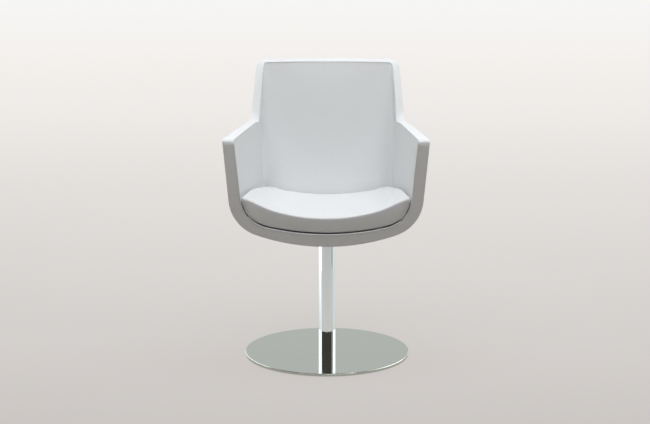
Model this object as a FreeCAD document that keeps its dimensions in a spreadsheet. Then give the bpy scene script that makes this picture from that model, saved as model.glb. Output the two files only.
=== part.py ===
import FreeCAD, Part
import Sketcher
import os
from math import asin, atan2, cos, hypot, pi, radians, sin, sqrt

# Pedestal swivel armchair: an upholstered tub on a chrome column and a round steel foot.
# Millimetres. X runs to the chair's left arm as seen from the front, -Y is the front, Z is up.
# The origin is on the floor, on the axis of the column.

doc = FreeCAD.newDocument("PedestalArmchair")
sheet = doc.addObject("Spreadsheet::Sheet", "Sizes")

# Driving dimensions

SIZES = [
    # Round foot
    ("disc_diameter", 500),
    ("disc_thickness", 8),
    ("disc_edge_round", 1.5),
    ("pad_diameter", 24),
    ("pad_height", 2.5),
    ("pad_inset", 30),
    ("pad_count", 8),
    # Column and the screws that hold the foot on
    ("column_diameter", 51),
    ("column_wall", 2.5),
    ("column_length", 344.46),
    ("plug_length", 30),
    ("foot_screw_circle", 28),
    ("foot_screw_length", 22),
    ("foot_screw_count", 3),
    ("screw_diameter", 8),
    ("countersunk_head", 15.5),
    ("thread_play", 0.05),
    ("screw_hole_play", 0.5),
    # Swivel bearing in the top of the column
    ("housing_length", 60),
    ("housing_flange", 4),
    ("spindle_diameter", 25),
    ("spindle_play", 0.05),
    ("bush_wall", 2.5),
    ("bush_length", 20),
    ("bush_flange_width", 3),
    ("bush_flange_thickness", 2),
    ("race_thickness", 3),
    ("race_width", 6),
    ("race_setback", 0.5),
    ("ball_diameter", 6),
    ("ball_play", 0.02),
    ("ball_count", 14),
    ("cage_thickness", 2),
    ("cage_play", 0.15),
    ("cage_web", 1.2),
    ("retainer_thickness", 2),
    ("retainer_width", 7),
    ("end_play", 0.25),
    ("clip_thickness", 1.2),
    ("clip_depth", 0.8),
    ("clip_width", 3.2),
    ("clip_gap", 6),
    ("spindle_tail", 4),
    ("spindle_flange_thickness", 6),
    ("spindle_flange_diameter", 60),
    ("skirt_wall", 1.2),
    ("skirt_overlap", 8),
    ("skirt_gap", 0.8),
    # Plate and block under the tub
    ("plate_size", 200),
    ("plate_thickness", 5),
    ("plate_corner", 25),
    ("plate_screw_circle", 212),
    ("plate_screw_reach", 11),
    ("plate_screw_count", 4),
    ("hex_width", 13),
    ("hex_height", 5.3),
    ("washer_diameter", 16),
    ("washer_thickness", 1.6),
    ("insert_diameter", 12),
    ("insert_length", 12),
    ("drill_allowance", 1),
    ("block_margin", 5),
    ("block_corner", 20),
    ("window_gap", 2),
    # Tub, with heights measured from the top of the plate
    ("section_reach", 300),
    ("arm_half_front", 294),
    ("arm_lean", 6.5),
    ("arm_rise", 320),
    ("belly_rise_front", 11),
    ("belly_radius_front", 530),
    ("corner_radius_front", 106),
    ("back_half_width", 215),
    ("belly_rise_rear", 3),
    ("belly_radius_rear", 900),
    ("corner_radius_rear", 92),
    ("back_rise", 494),
    ("back_reach", 285),
    ("back_recline", 9.8),
    ("back_round", 60),
    ("front_reach", 285),
    ("front_tilt", 4.3),
    ("wing_foot", 150),
    ("wing_angle", 60),
    ("arm_nose_radius", 14),
    ("notch_radius", 45),
    ("wing_top_radius", 18),
    ("crown_radius", 4200),
    ("crease_radius", 22),
    # Walls of the tub, from the outside in
    ("wall_side", 32),
    ("wall_bottom", 36),
    ("wall_back", 34),
    ("leather", 1.4),
    ("outer_foam", 6),
    ("core_thickness", 10),
    ("rim_foam", 8),
    ("rim_round", 4),
    ("seam_setback", 6),
    # Seat cushion
    ("deck_gap", 3),
    ("cushion_setback", 1),
    ("cushion_rise_front", 91),
    ("cushion_rise_middle", 91),
    ("cushion_rise_rear", 81),
    ("dish_radius_front", 490),
    ("dish_radius_middle", 650),
    ("dish_radius_rear", 1000),
    ("cushion_edge_radius", 8),
    ("zip_width", 5),
    ("zip_length", 240),
    ("zip_rise", 68),
    ("strip_width", 25),
    ("strip_length", 300),
    ("strip_spacing", 180),
]

for row, (alias, number) in enumerate(SIZES, start=1):
    sheet.set(f"A{row}", alias)
    sheet.set(f"B{row}", str(number))
    sheet.setAlias(f"B{row}", alias)
doc.recompute()


# Helpers for expressions, sketches and features

def size(text):
    """Value of an expression of the sheet's sizes."""
    return float(sheet.evalExpression(text))


def bind(thing, path, text):
    thing.setExpression(path, text)


def add_body(name):
    body = doc.addObject("PartDesign::Body", name)
    body.Label = name
    return body


def add_sketch(body, role, shift=None):
    """Empty sketch on one of the body's own origin planes, shifted along its normal."""
    sketch = body.newObject("Sketcher::SketchObject", body.Name + "_sketch")
    plane = [item for item in body.Origin.OriginFeatures if item.Role == role][0]
    sketch.AttachmentSupport = [(plane, "")]
    sketch.MapMode = "FlatFace"
    if shift:
        bind(sketch, ".AttachmentOffset.Base.z", shift)
    return sketch


def fix(sketch, kind, *where, text):
    """Dimension of a sketch whose value is an expression."""
    value = size(text)
    if kind == "Angle":
        value = radians(value)
        text = f"({text}) * 1 deg"
    index = sketch.addConstraint(Sketcher.Constraint(kind, *where, value))
    bind(sketch, f"Constraints[{index}]", text)


def place_point(sketch, edge, end, across, up):
    """Fixes a sketch point at two expressions, or on an axis where one is None."""
    if across is None:
        sketch.addConstraint(Sketcher.Constraint("PointOnObject", edge, end, -2))
    else:
        fix(sketch, "DistanceX", -1, 1, edge, end, text=across)
    if up is None:
        sketch.addConstraint(Sketcher.Constraint("PointOnObject", edge, end, -1))
    else:
        fix(sketch, "DistanceY", -1, 1, edge, end, text=up)


def vector(across, up):
    x = 0.0 if across is None else size(across)
    y = 0.0 if up is None else size(up)
    return FreeCAD.Vector(x, y, 0)


def draw_outline(sketch, points):
    """Closed run of straight lines through points given as pairs of expressions."""
    corners = [vector(*point) for point in points]
    count = len(corners)
    first = sketch.GeometryCount
    for index in range(count):
        sketch.addGeometry(Part.LineSegment(corners[index], corners[(index + 1) % count]), False)
    for index in range(count):
        here = first + index
        following = first + (index + 1) % count
        sketch.addConstraint(Sketcher.Constraint("Coincident", here, 2, following, 1))
        place_point(sketch, here, 1, *points[index])


def draw_circle(sketch, across, up, radius):
    circle = Part.Circle(vector(across, up), FreeCAD.Vector(0, 0, 1), size(radius))
    index = sketch.addGeometry(circle, False)
    place_point(sketch, index, 3, across, up)
    fix(sketch, "Radius", index, text=radius)


def add_pad(body, sketch, length, midplane=False, additive=True):
    kind = "PartDesign::Pad" if additive else "PartDesign::Pocket"
    feature = body.newObject(kind, body.Name + "_extrusion")
    feature.Profile = sketch
    feature.Midplane = midplane
    bind(feature, "Length", length)
    sketch.Visibility = False
    return feature


def cut_up(body, sketch, depth):
    """Pocket that runs up from a sketch on a level plane."""
    pocket = add_pad(body, sketch, depth, additive=False)
    pocket.Reversed = True
    return pocket


def add_turning(body, points):
    """Solid of revolution about Z from an outline in radius and height."""
    sketch = add_sketch(body, "XZ_Plane")
    draw_outline(sketch, points)
    feature = body.newObject("PartDesign::Revolution", body.Name + "_turning")
    feature.Profile = sketch
    feature.ReferenceAxis = (sketch, ["V_Axis"])
    feature.Angle = 360
    return feature


def spread_round(body, feature, count):
    """Repeats a feature evenly round the Z axis."""
    pattern = body.newObject("PartDesign::PolarPattern", body.Name + "_round")
    axis = [item for item in body.Origin.OriginFeatures if item.Role == "Z_Axis"][0]
    pattern.Originals = [feature]
    pattern.Axis = (axis, [""])
    pattern.Angle = 360
    bind(pattern, "Occurrences", count)
    body.Tip = pattern
    return pattern


def pick_edges(shape, test):
    return [f"Edge{index}" for index, edge in enumerate(shape.Edges, start=1) if test(edge)]


def round_edges(body, test, radius, kind="Fillet"):
    """Fillet or chamfer on the edges of the body's tip that pass a test."""
    doc.recompute()
    base = body.Tip
    names = pick_edges(base.Shape, test)
    if not names:
        raise ValueError(f"{body.Name}: no edge to round")
    feature = body.newObject("PartDesign::" + kind, f"{body.Name}_{kind.lower()}")
    feature.Base = (base, names)
    bind(feature, "Radius" if kind == "Fillet" else "Size", radius)
    return feature


def middle(edge):
    return edge.valueAt((edge.FirstParameter + edge.LastParameter) / 2)


def is_near(one, other):
    return abs(one - other) < 0.01


def is_ring_at(edge, height, radius):
    """True for a circle about any upright axis, of a given radius and height."""
    curve = edge.Curve
    if not isinstance(curve, Part.Circle):
        return False
    return is_near(middle(edge).z, height) and is_near(curve.Radius, radius)


def boolean(kind, name, base, tool):
    result = doc.addObject("Part::" + kind, name)
    result.Base = base
    result.Tool = tool
    return result


# Heights of the stack that stands on the floor, each on the one before

DISC_BOTTOM = "Sizes.pad_height"
DISC_TOP = f"{DISC_BOTTOM} + Sizes.disc_thickness"
COLUMN_TOP = f"{DISC_TOP} + Sizes.column_length"
HOUSING_TOP = f"{COLUMN_TOP} + Sizes.housing_flange"
LOWER_RACE_TOP = f"{HOUSING_TOP} + Sizes.race_thickness"
BALL_MIDDLE = f"{LOWER_RACE_TOP} + Sizes.ball_play + Sizes.ball_diameter / 2"
UPPER_RACE_BOTTOM = f"{BALL_MIDDLE} + Sizes.ball_diameter / 2 + Sizes.ball_play"
UPPER_RACE_TOP = f"{UPPER_RACE_BOTTOM} + Sizes.race_thickness"
PLATE_BOTTOM = f"{UPPER_RACE_TOP} + Sizes.spindle_flange_thickness"
PLATE_TOP = f"{PLATE_BOTTOM} + Sizes.plate_thickness"


def add_raised_body(name, height=PLATE_TOP):
    """Body whose own zero height is the top of the plate, or another height of the stack."""
    body = add_body(name)
    bind(body, ".Placement.Base.z", height)
    return body


# Radii that parts share

COLUMN_OUTER = "Sizes.column_diameter / 2"
COLUMN_BORE = "(Sizes.column_diameter / 2 - Sizes.column_wall)"
SPINDLE = "Sizes.spindle_diameter / 2"
BUSH_BORE = "(Sizes.spindle_diameter / 2 + Sizes.spindle_play)"
BUSH_OUTER = f"({BUSH_BORE} + Sizes.bush_wall)"
BUSH_FLANGE = f"({BUSH_OUTER} + Sizes.bush_flange_width)"
RACE_OUTER = f"({COLUMN_OUTER} - Sizes.race_setback)"
RACE_INNER = f"({RACE_OUTER} - Sizes.race_width)"
BALL_CIRCLE = f"({RACE_OUTER} - Sizes.race_width / 2)"
SCREW = "Sizes.screw_diameter / 2"
SCREW_HOLE = f"({SCREW} + Sizes.screw_hole_play)"
THREAD_HOLE = f"({SCREW} + Sizes.thread_play)"
FOOT_SCREW_X = "Sizes.foot_screw_circle / 2"
PLATE_SCREW_X = "Sizes.plate_screw_circle / 2"


def ring_points(inner, outer, low, high):
    """Outline of a plain ring: radii and heights."""
    return [(inner, low), (outer, low), (outer, high), (inner, high)]


# Round steel foot with three countersunk holes

base_disc = add_body("base_disc")
sketch = add_sketch(base_disc, "XY_Plane", DISC_BOTTOM)
draw_circle(sketch, None, None, "Sizes.disc_diameter / 2")
add_pad(base_disc, sketch, "Sizes.disc_thickness")
round_edges(base_disc, lambda edge: is_near(middle(edge).z, size(DISC_TOP)), "Sizes.disc_edge_round")
sketch = add_sketch(base_disc, "XY_Plane", DISC_BOTTOM)
draw_circle(sketch, FOOT_SCREW_X, None, SCREW_HOLE)
hole = cut_up(base_disc, sketch, "Sizes.disc_thickness")
spread_round(base_disc, hole, "Sizes.foot_screw_count")
round_edges(base_disc,
            lambda edge: is_ring_at(edge, size(DISC_BOTTOM), size(SCREW_HOLE)),
            f"Sizes.countersunk_head / 2 - {SCREW_HOLE}", "Chamfer")

# Plastic pads that the foot rests on

glide_pads = add_body("glide_pads")
glide_pads.AllowCompound = True
sketch = add_sketch(glide_pads, "XY_Plane")
draw_circle(sketch, "Sizes.disc_diameter / 2 - Sizes.pad_inset", None, "Sizes.pad_diameter / 2")
pad = add_pad(glide_pads, sketch, "Sizes.pad_height")
spread_round(glide_pads, pad, "Sizes.pad_count")

# Chromed column tube

column_tube = add_body("column_tube")
add_turning(column_tube, ring_points(COLUMN_BORE, COLUMN_OUTER, DISC_TOP, COLUMN_TOP))

# Turned plug in the foot of the tube, tapped for the screws

foot_plug = add_body("foot_plug")
sketch = add_sketch(foot_plug, "XY_Plane", DISC_TOP)
draw_circle(sketch, None, None, COLUMN_BORE)
add_pad(foot_plug, sketch, "Sizes.plug_length")
sketch = add_sketch(foot_plug, "XY_Plane", DISC_TOP)
draw_circle(sketch, FOOT_SCREW_X, None, THREAD_HOLE)
hole = cut_up(foot_plug, sketch, "Sizes.plug_length")
spread_round(foot_plug, hole, "Sizes.foot_screw_count")

# Countersunk screws from below the foot

foot_screws = add_body("foot_screws")
foot_screws.AllowCompound = True
sketch = add_sketch(foot_screws, "XY_Plane", DISC_BOTTOM)
draw_circle(sketch, FOOT_SCREW_X, None, SCREW)
shank = add_pad(foot_screws, sketch, "Sizes.foot_screw_length")
HEAD_RADIUS = "(Sizes.countersunk_head / 2 - Sizes.screw_hole_play)"
head_sketch = add_sketch(foot_screws, "XZ_Plane")
HEAD_TOP = f"{DISC_BOTTOM} + {HEAD_RADIUS} - {SCREW}"
draw_outline(head_sketch, [
    (FOOT_SCREW_X, DISC_BOTTOM),
    (f"{FOOT_SCREW_X} + {HEAD_RADIUS}", DISC_BOTTOM),
    (f"{FOOT_SCREW_X} + {SCREW}", HEAD_TOP),
    (FOOT_SCREW_X, HEAD_TOP),
])
head = foot_screws.newObject("PartDesign::Revolution", "foot_screws_head")
head.Profile = head_sketch
head.ReferenceAxis = (head_sketch, ["Edge4"])
head.Angle = 360
spread_round(foot_screws, shank, "Sizes.foot_screw_count")
foot_screws.Tip.Originals = [shank, head]

# Bearing housing pressed into the top of the tube

HOUSING_BOTTOM = f"{COLUMN_TOP} - Sizes.housing_length"
bearing_housing = add_body("bearing_housing")
add_turning(bearing_housing, [
    (BUSH_OUTER, HOUSING_BOTTOM),
    (COLUMN_BORE, HOUSING_BOTTOM),
    (COLUMN_BORE, COLUMN_TOP),
    (COLUMN_OUTER, COLUMN_TOP),
    (COLUMN_OUTER, HOUSING_TOP),
    (BUSH_OUTER, HOUSING_TOP),
])


def add_bush(name, seat, outward):
    """Flanged bush whose flange sits on an end of the housing; outward is + or -."""
    inward = "-" if outward == "+" else "+"
    body = add_body(name)
    rim = f"{seat} {outward} Sizes.bush_flange_thickness"
    end = f"{seat} {inward} Sizes.bush_length"
    add_turning(body, [
        (BUSH_BORE, end),
        (BUSH_OUTER, end),
        (BUSH_OUTER, seat),
        (BUSH_FLANGE, seat),
        (BUSH_FLANGE, rim),
        (BUSH_BORE, rim),
    ])
    return body


upper_bush = add_bush("upper_bush", HOUSING_TOP, "+")
lower_bush = add_bush("lower_bush", HOUSING_BOTTOM, "-")

# Thrust bearing: two flat races with a caged row of balls between them

thrust_race_lower = add_body("thrust_race_lower")
add_turning(thrust_race_lower, ring_points(RACE_INNER, RACE_OUTER, HOUSING_TOP, LOWER_RACE_TOP))
thrust_race_upper = add_body("thrust_race_upper")
add_turning(thrust_race_upper,
            ring_points(RACE_INNER, RACE_OUTER, UPPER_RACE_BOTTOM, UPPER_RACE_TOP))

thrust_cage = add_body("thrust_cage")
CAGE_BOTTOM = f"{BALL_MIDDLE} - Sizes.cage_thickness / 2"
add_turning(thrust_cage, ring_points(
    f"{BALL_CIRCLE} - Sizes.ball_diameter / 2 - Sizes.cage_play - Sizes.cage_web",
    f"{BALL_CIRCLE} + Sizes.ball_diameter / 2 + Sizes.cage_play + Sizes.cage_web",
    CAGE_BOTTOM, f"{CAGE_BOTTOM} + Sizes.cage_thickness"))
sketch = add_sketch(thrust_cage, "XY_Plane", CAGE_BOTTOM)
draw_circle(sketch, BALL_CIRCLE, None, "Sizes.ball_diameter / 2 + Sizes.cage_play")
pocket = cut_up(thrust_cage, sketch, "Sizes.cage_thickness")
spread_round(thrust_cage, pocket, "Sizes.ball_count")

balls = []
for number in range(int(size("Sizes.ball_count"))):
    ball = doc.addObject("Part::Sphere", f"ball_{number + 1}")
    turn = f"360 * {number} / Sizes.ball_count"
    bind(ball, "Radius", "Sizes.ball_diameter / 2")
    bind(ball, ".Placement.Base.x", f"{BALL_CIRCLE} * cos({turn})")
    bind(ball, ".Placement.Base.y", f"{BALL_CIRCLE} * sin({turn})")
    bind(ball, ".Placement.Base.z", BALL_MIDDLE)
    balls.append(ball)
thrust_balls = doc.addObject("Part::Compound", "thrust_balls")
thrust_balls.Links = balls

# Spindle that turns with the seat, with a welded flange under the plate

RETAINER_TOP = f"{HOUSING_BOTTOM} - Sizes.bush_flange_thickness - Sizes.end_play"
CLIP_TOP = f"{RETAINER_TOP} - Sizes.retainer_thickness"
CLIP_BOTTOM = f"{CLIP_TOP} - Sizes.clip_thickness"
GROOVE = f"({SPINDLE} - Sizes.clip_depth)"
swivel_spindle = add_body("swivel_spindle")
add_turning(swivel_spindle, [
    (None, f"{CLIP_BOTTOM} - Sizes.spindle_tail"),
    (SPINDLE, f"{CLIP_BOTTOM} - Sizes.spindle_tail"),
    (SPINDLE, CLIP_BOTTOM),
    (GROOVE, CLIP_BOTTOM),
    (GROOVE, CLIP_TOP),
    (SPINDLE, CLIP_TOP),
    (SPINDLE, UPPER_RACE_TOP),
    ("Sizes.spindle_flange_diameter / 2", UPPER_RACE_TOP),
    ("Sizes.spindle_flange_diameter / 2", PLATE_BOTTOM),
    (SPINDLE, PLATE_BOTTOM),
    (SPINDLE, PLATE_TOP),
    (None, PLATE_TOP),
])

spindle_washer = add_body("spindle_washer")
add_turning(spindle_washer, ring_points(
    BUSH_BORE, f"{SPINDLE} + Sizes.retainer_width", CLIP_TOP, RETAINER_TOP))

spindle_circlip = add_body("spindle_circlip")
add_turning(spindle_circlip, ring_points(
    GROOVE, f"{GROOVE} + Sizes.clip_width", CLIP_BOTTOM, CLIP_TOP))
sketch = add_sketch(spindle_circlip, "XY_Plane", CLIP_BOTTOM)
draw_outline(sketch, [
    (None, "-Sizes.clip_gap / 2"),
    (f"{SPINDLE} + Sizes.clip_width", "-Sizes.clip_gap / 2"),
    (f"{SPINDLE} + Sizes.clip_width", "Sizes.clip_gap / 2"),
    (None, "Sizes.clip_gap / 2"),
])
cut_up(spindle_circlip, sketch, "Sizes.clip_thickness")

# Chromed skirt that hides the bearing, pressed on the spindle's flange

SKIRT_BORE = "Sizes.spindle_flange_diameter / 2"
SKIRT_OUTER = f"{SKIRT_BORE} + Sizes.skirt_wall"
SKIRT_LIP = f"{COLUMN_OUTER} + Sizes.skirt_gap"
SKIRT_BOTTOM = f"{COLUMN_TOP} - Sizes.skirt_overlap"
swivel_skirt = add_body("swivel_skirt")
add_turning(swivel_skirt, [
    (SKIRT_LIP, SKIRT_BOTTOM),
    (SKIRT_OUTER, SKIRT_BOTTOM),
    (SKIRT_OUTER, PLATE_BOTTOM),
    (SKIRT_BORE, PLATE_BOTTOM),
    (SKIRT_BORE, f"{SKIRT_BOTTOM} + Sizes.skirt_wall"),
    (SKIRT_LIP, f"{SKIRT_BOTTOM} + Sizes.skirt_wall"),
])


def draw_square(sketch, half):
    """Square about the axis from its half width."""
    draw_outline(sketch, [
        (f"-({half})", f"-({half})"),
        (half, f"-({half})"),
        (half, half),
        (f"-({half})", half),
    ])


def is_upright(edge):
    ends = edge.Vertexes
    return len(ends) == 2 and is_near(ends[0].X, ends[1].X) and is_near(ends[0].Y, ends[1].Y)


def screw_spot(sketch, radius):
    """Circle at the first of the screws, which stand on the plate's diagonals."""
    spot = f"{PLATE_SCREW_X} * cos(45)"
    draw_circle(sketch, spot, spot, radius)


# Steel plate welded to the spindle, drilled for the tub's screws

seat_plate = add_raised_body("seat_plate", PLATE_BOTTOM)
sketch = add_sketch(seat_plate, "XY_Plane")
draw_square(sketch, "Sizes.plate_size / 2")
draw_circle(sketch, None, None, SPINDLE)
add_pad(seat_plate, sketch, "Sizes.plate_thickness")
round_edges(seat_plate, is_upright, "Sizes.plate_corner")
sketch = add_sketch(seat_plate, "XY_Plane")
screw_spot(sketch, SCREW_HOLE)
hole = cut_up(seat_plate, sketch, "Sizes.plate_thickness")
spread_round(seat_plate, hole, "Sizes.plate_screw_count")

# Tub surfaces: filled troughs that taper to the back and end on the reclined plane

FORM_TOP = "(Sizes.back_rise + Sizes.wall_back)"
FORM_LOW = "-Sizes.wall_bottom"


def draw_trough_section(sketch, half, lean, bottom, belly, corner):
    """U with sides that lean outwards, corner arcs and a belly arc, closed by a level line.

    half is the half width at the height of the arms.
    """
    angle = radians(size(lean)) if lean else 0.0
    top_half = f"({half}) + ({FORM_TOP} - Sizes.arm_rise) * tan({lean})" if lean else half
    top = FreeCAD.Vector(size(top_half), size(FORM_TOP), 0)
    along = FreeCAD.Vector(sin(angle), cos(angle), 0)
    inward = FreeCAD.Vector(-cos(angle), sin(angle), 0)
    big = size(belly)
    small = size(corner)
    centre = FreeCAD.Vector(0, size(bottom) + big, 0)
    # The corner's centre is the corner radius inside the side line and touches the belly arc.
    start = top + inward * small - centre
    slide = start.dot(along) + sqrt(start.dot(along) ** 2 - start.dot(start) + (big - small) ** 2)
    corner_centre = centre + start - along * slide
    side_end = corner_centre - inward * small
    turn = atan2(corner_centre.y - centre.y, corner_centre.x)
    mirrored = FreeCAD.Vector(-corner_centre.x, corner_centre.y, 0)
    up = FreeCAD.Vector(0, 0, 1)
    left_top = FreeCAD.Vector(-top.x, top.y, 0)
    left_end = FreeCAD.Vector(-side_end.x, side_end.y, 0)
    sketch.addGeometry([
        Part.LineSegment(side_end, top),
        Part.ArcOfCircle(Part.Circle(corner_centre, up, small), turn, -angle),
        Part.ArcOfCircle(Part.Circle(centre, up, big), -pi - turn, turn),
        Part.ArcOfCircle(Part.Circle(mirrored, up, small), pi + angle, pi - turn),
        Part.LineSegment(left_end, left_top),
        Part.LineSegment(left_top, top),
    ], False)
    sketch.addConstraint([
        Sketcher.Constraint("Tangent", 0, 1, 1, 2),
        Sketcher.Constraint("Tangent", 1, 1, 2, 2),
        Sketcher.Constraint("Tangent", 2, 1, 3, 2),
        Sketcher.Constraint("Tangent", 3, 1, 4, 1),
        Sketcher.Constraint("Coincident", 4, 2, 5, 1),
        Sketcher.Constraint("Coincident", 5, 2, 0, 2),
        Sketcher.Constraint("Symmetric", 5, 1, 5, 2, -2),
        Sketcher.Constraint("PointOnObject", 2, 3, -2),
        Sketcher.Constraint("Equal", 1, 3),
        Sketcher.Constraint("Equal", 0, 4),
    ])
    if lean:
        fix(sketch, "Angle", 0, text=f"90 - {lean}")
    else:
        sketch.addConstraint(Sketcher.Constraint("Vertical", 0))
    fix(sketch, "Radius", 1, text=corner)
    fix(sketch, "Radius", 2, text=belly)
    fix(sketch, "DistanceY", -1, 1, 2, 3, text=f"{bottom} + {belly}")
    place_point(sketch, 0, 2, top_half, FORM_TOP)


def back_plane_y(height, inset):
    """Y of the reclined plane of the back at a height, as an expression."""
    drop = f"(Sizes.back_rise - ({height})) * tan(Sizes.back_recline)"
    return f"Sizes.back_reach - ({inset}) / cos(Sizes.back_recline) - {drop}"


def is_back_edge(inset):
    """Test for the edges where the back plane meets the trough, but not its open top."""
    def test(edge):
        for point in [middle(edge)] + [vertex.Point for vertex in edge.Vertexes]:
            if not is_near(point.y, size(back_plane_y(str(point.z), inset))):
                return False
        return middle(edge).z < size(FORM_TOP) - 0.01
    return test


def add_trough(name, side, bottom, back, rounding):
    """Filled trough whose walls lie inside the tub's outer surface by the given insets."""
    body = add_raised_body(name)
    front = add_sketch(body, "XZ_Plane", "Sizes.section_reach")
    draw_trough_section(
        front,
        f"Sizes.arm_half_front - ({side}) / cos(Sizes.arm_lean)",
        "Sizes.arm_lean",
        f"Sizes.belly_rise_front + {bottom}",
        f"(Sizes.belly_radius_front - ({bottom}))",
        f"Sizes.corner_radius_front - ({side})")
    rear = add_sketch(body, "XZ_Plane", "-Sizes.section_reach")
    draw_trough_section(
        rear,
        f"Sizes.back_half_width - ({side})",
        None,
        f"Sizes.belly_rise_rear + {bottom}",
        f"(Sizes.belly_radius_rear - ({bottom}))",
        f"Sizes.corner_radius_rear - ({side})")
    loft = body.newObject("PartDesign::AdditiveLoft", name + "_loft")
    loft.Profile = front
    loft.Sections = [rear]
    cutter = add_sketch(body, "YZ_Plane")
    far = "Sizes.section_reach + Sizes.wall_back"
    high = f"{FORM_TOP} + Sizes.wall_back"
    draw_outline(cutter, [
        (back_plane_y(FORM_LOW, back), FORM_LOW),
        (far, FORM_LOW),
        (far, high),
        (back_plane_y(high, back), high),
    ])
    add_pad(body, cutter, "4 * Sizes.arm_half_front", midplane=True, additive=False)
    round_edges(body, is_back_edge(back), rounding)
    return body


# Side profile of the tub: leaning front, level arms, raked wings and a crowned top


def front_y(height, inset):
    """Y of the leaning front plane at a height, as an expression."""
    lean = f"(({height}) - Sizes.belly_rise_front) * tan(Sizes.front_tilt)"
    return f"-Sizes.front_reach + ({inset}) / cos(Sizes.front_tilt) + {lean}"


def wing_y(height, inset):
    """Y of the raked edge of the wings at a height, as an expression."""
    run = f"(({height}) - Sizes.arm_rise) / tan(Sizes.wing_angle)"
    return f"Sizes.wing_foot + {run} + ({inset}) / sin(Sizes.wing_angle)"


def crosses_near(y, height):
    """Test for an edge that crosses the chair from side to side through a point on its middle."""
    def test(edge):
        point = middle(edge)
        is_there = hypot(point.y - size(y), point.z - size(height)) < 0.1
        return is_there and abs(edge.Vertexes[0].X - edge.Vertexes[-1].X) > 1
    return test


def draw_arch(sketch, top, radius, half, height, rises):
    """Region between a level line and an arc through (0, top) that rises or falls to its ends."""
    way = 1 if rises else -1
    span = size(half)
    round_size = size(radius)
    centre_height = f"{top} + {radius}" if rises else f"{top} - {radius}"
    centre = vector(None, centre_height)
    reach = asin(span / round_size)
    start = -pi / 2 - reach if rises else pi / 2 - reach
    arc = Part.ArcOfCircle(Part.Circle(centre, FreeCAD.Vector(0, 0, 1), round_size),
                           start, start + 2 * reach)
    end_height = centre.y - way * round_size * cos(reach)
    left = FreeCAD.Vector(-span, end_height, 0)
    right = FreeCAD.Vector(span, end_height, 0)
    left_high = FreeCAD.Vector(-span, size(height), 0)
    right_high = FreeCAD.Vector(span, size(height), 0)
    sketch.addGeometry([
        arc,
        Part.LineSegment(right, right_high),
        Part.LineSegment(right_high, left_high),
        Part.LineSegment(left_high, left),
    ], False)
    left_end, right_end = (1, 2) if rises else (2, 1)
    sketch.addConstraint([
        Sketcher.Constraint("Coincident", 0, right_end, 1, 1),
        Sketcher.Constraint("Coincident", 1, 2, 2, 1),
        Sketcher.Constraint("Coincident", 2, 2, 3, 1),
        Sketcher.Constraint("Coincident", 3, 2, 0, left_end),
        Sketcher.Constraint("PointOnObject", 0, 3, -2),
        Sketcher.Constraint("Vertical", 1),
        Sketcher.Constraint("Vertical", 3),
        Sketcher.Constraint("Horizontal", 2),
    ])
    fix(sketch, "DistanceY", -1, 1, 0, 3, text=centre_height)
    fix(sketch, "Radius", 0, text=radius)
    fix(sketch, "DistanceX", -1, 1, 1, 2, text=half)
    fix(sketch, "DistanceX", -1, 1, 3, 1, text=f"-({half})")
    fix(sketch, "DistanceY", -1, 1, 1, 2, text=height)


def add_profile(name, inset):
    """Prism right across the chair whose surface is the rim, moved inwards by an inset."""
    body = add_raised_body(name)
    arm_top = f"Sizes.arm_rise - ({inset})"
    crown_top = f"Sizes.back_rise - ({inset})"
    far = "Sizes.section_reach + Sizes.wall_back"
    sketch = add_sketch(body, "YZ_Plane")
    draw_outline(sketch, [
        (front_y(FORM_LOW, inset), FORM_LOW),
        (front_y(arm_top, inset), arm_top),
        (wing_y(arm_top, inset), arm_top),
        (wing_y(FORM_TOP, inset), FORM_TOP),
        (far, FORM_TOP),
        (far, FORM_LOW),
    ])
    add_pad(body, sketch, "4 * Sizes.arm_half_front", midplane=True)
    crown = add_sketch(body, "XZ_Plane")
    draw_arch(crown, crown_top, f"(Sizes.crown_radius - ({inset}))", "3 * Sizes.arm_half_front",
              f"{FORM_TOP} + Sizes.wall_back", rises=False)
    add_pad(body, crown, "4 * Sizes.section_reach", midplane=True, additive=False)
    nose = crosses_near(front_y(arm_top, inset), arm_top)
    round_edges(body, nose, f"Sizes.arm_nose_radius - ({inset})")
    notch = crosses_near(wing_y(arm_top, inset), arm_top)
    round_edges(body, notch, f"Sizes.notch_radius + {inset}")
    shoulder = crosses_near(wing_y(crown_top, inset), crown_top)
    round_edges(body, shoulder, f"Sizes.wing_top_radius - ({inset})")
    return body


OUTER_WALL = ("0", "0", "0", "Sizes.back_round")
INNER_WALL = ("Sizes.wall_side", "Sizes.wall_bottom", "Sizes.wall_back", "Sizes.crease_radius")


def shifted(wall, inset):
    """The same wall moved inwards, with the rounding of its back edge to match."""
    side, bottom, back, rounding = wall
    return (f"({side} + ({inset}))", f"({bottom} + ({inset}))", f"({back} + ({inset}))",
            f"{rounding} - ({inset})")


def add_wall(name, outer, inner, profile):
    """Wall of the tub between two filled troughs, trimmed to a side profile."""
    hollow = boolean("Cut", name + "_hollow", outer, inner)
    return boolean("Common", name + "_trimmed", hollow, profile)


def is_on(face, form):
    """True where a point well inside a face lies on the surface of a form."""
    low_u, high_u, low_v, high_v = face.ParameterRange
    point = Part.Vertex(face.valueAt((low_u + high_u) / 2, (low_v + high_v) / 2))
    return any(other.distToShape(point)[0] < 0.01 for other in form.Shape.Faces)


def round_rims(name, wall, profile, radius):
    """Fillet along both edges of the rim that goes round the whole tub."""
    doc.recompute()
    rim_faces = [face for face in wall.Shape.Faces if is_on(face, profile)]
    edges = []
    for index, edge in enumerate(wall.Shape.Edges, start=1):
        count = sum(1 for face in rim_faces if any(edge.isSame(other) for other in face.Edges))
        if count == 1:
            edges.append((index, size(radius), size(radius)))
    feature = doc.addObject("Part::Fillet", name)
    feature.Base = wall
    feature.Edges = edges
    return feature


# Padded wall of the tub in two sizes: over the leather and over the foam

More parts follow.
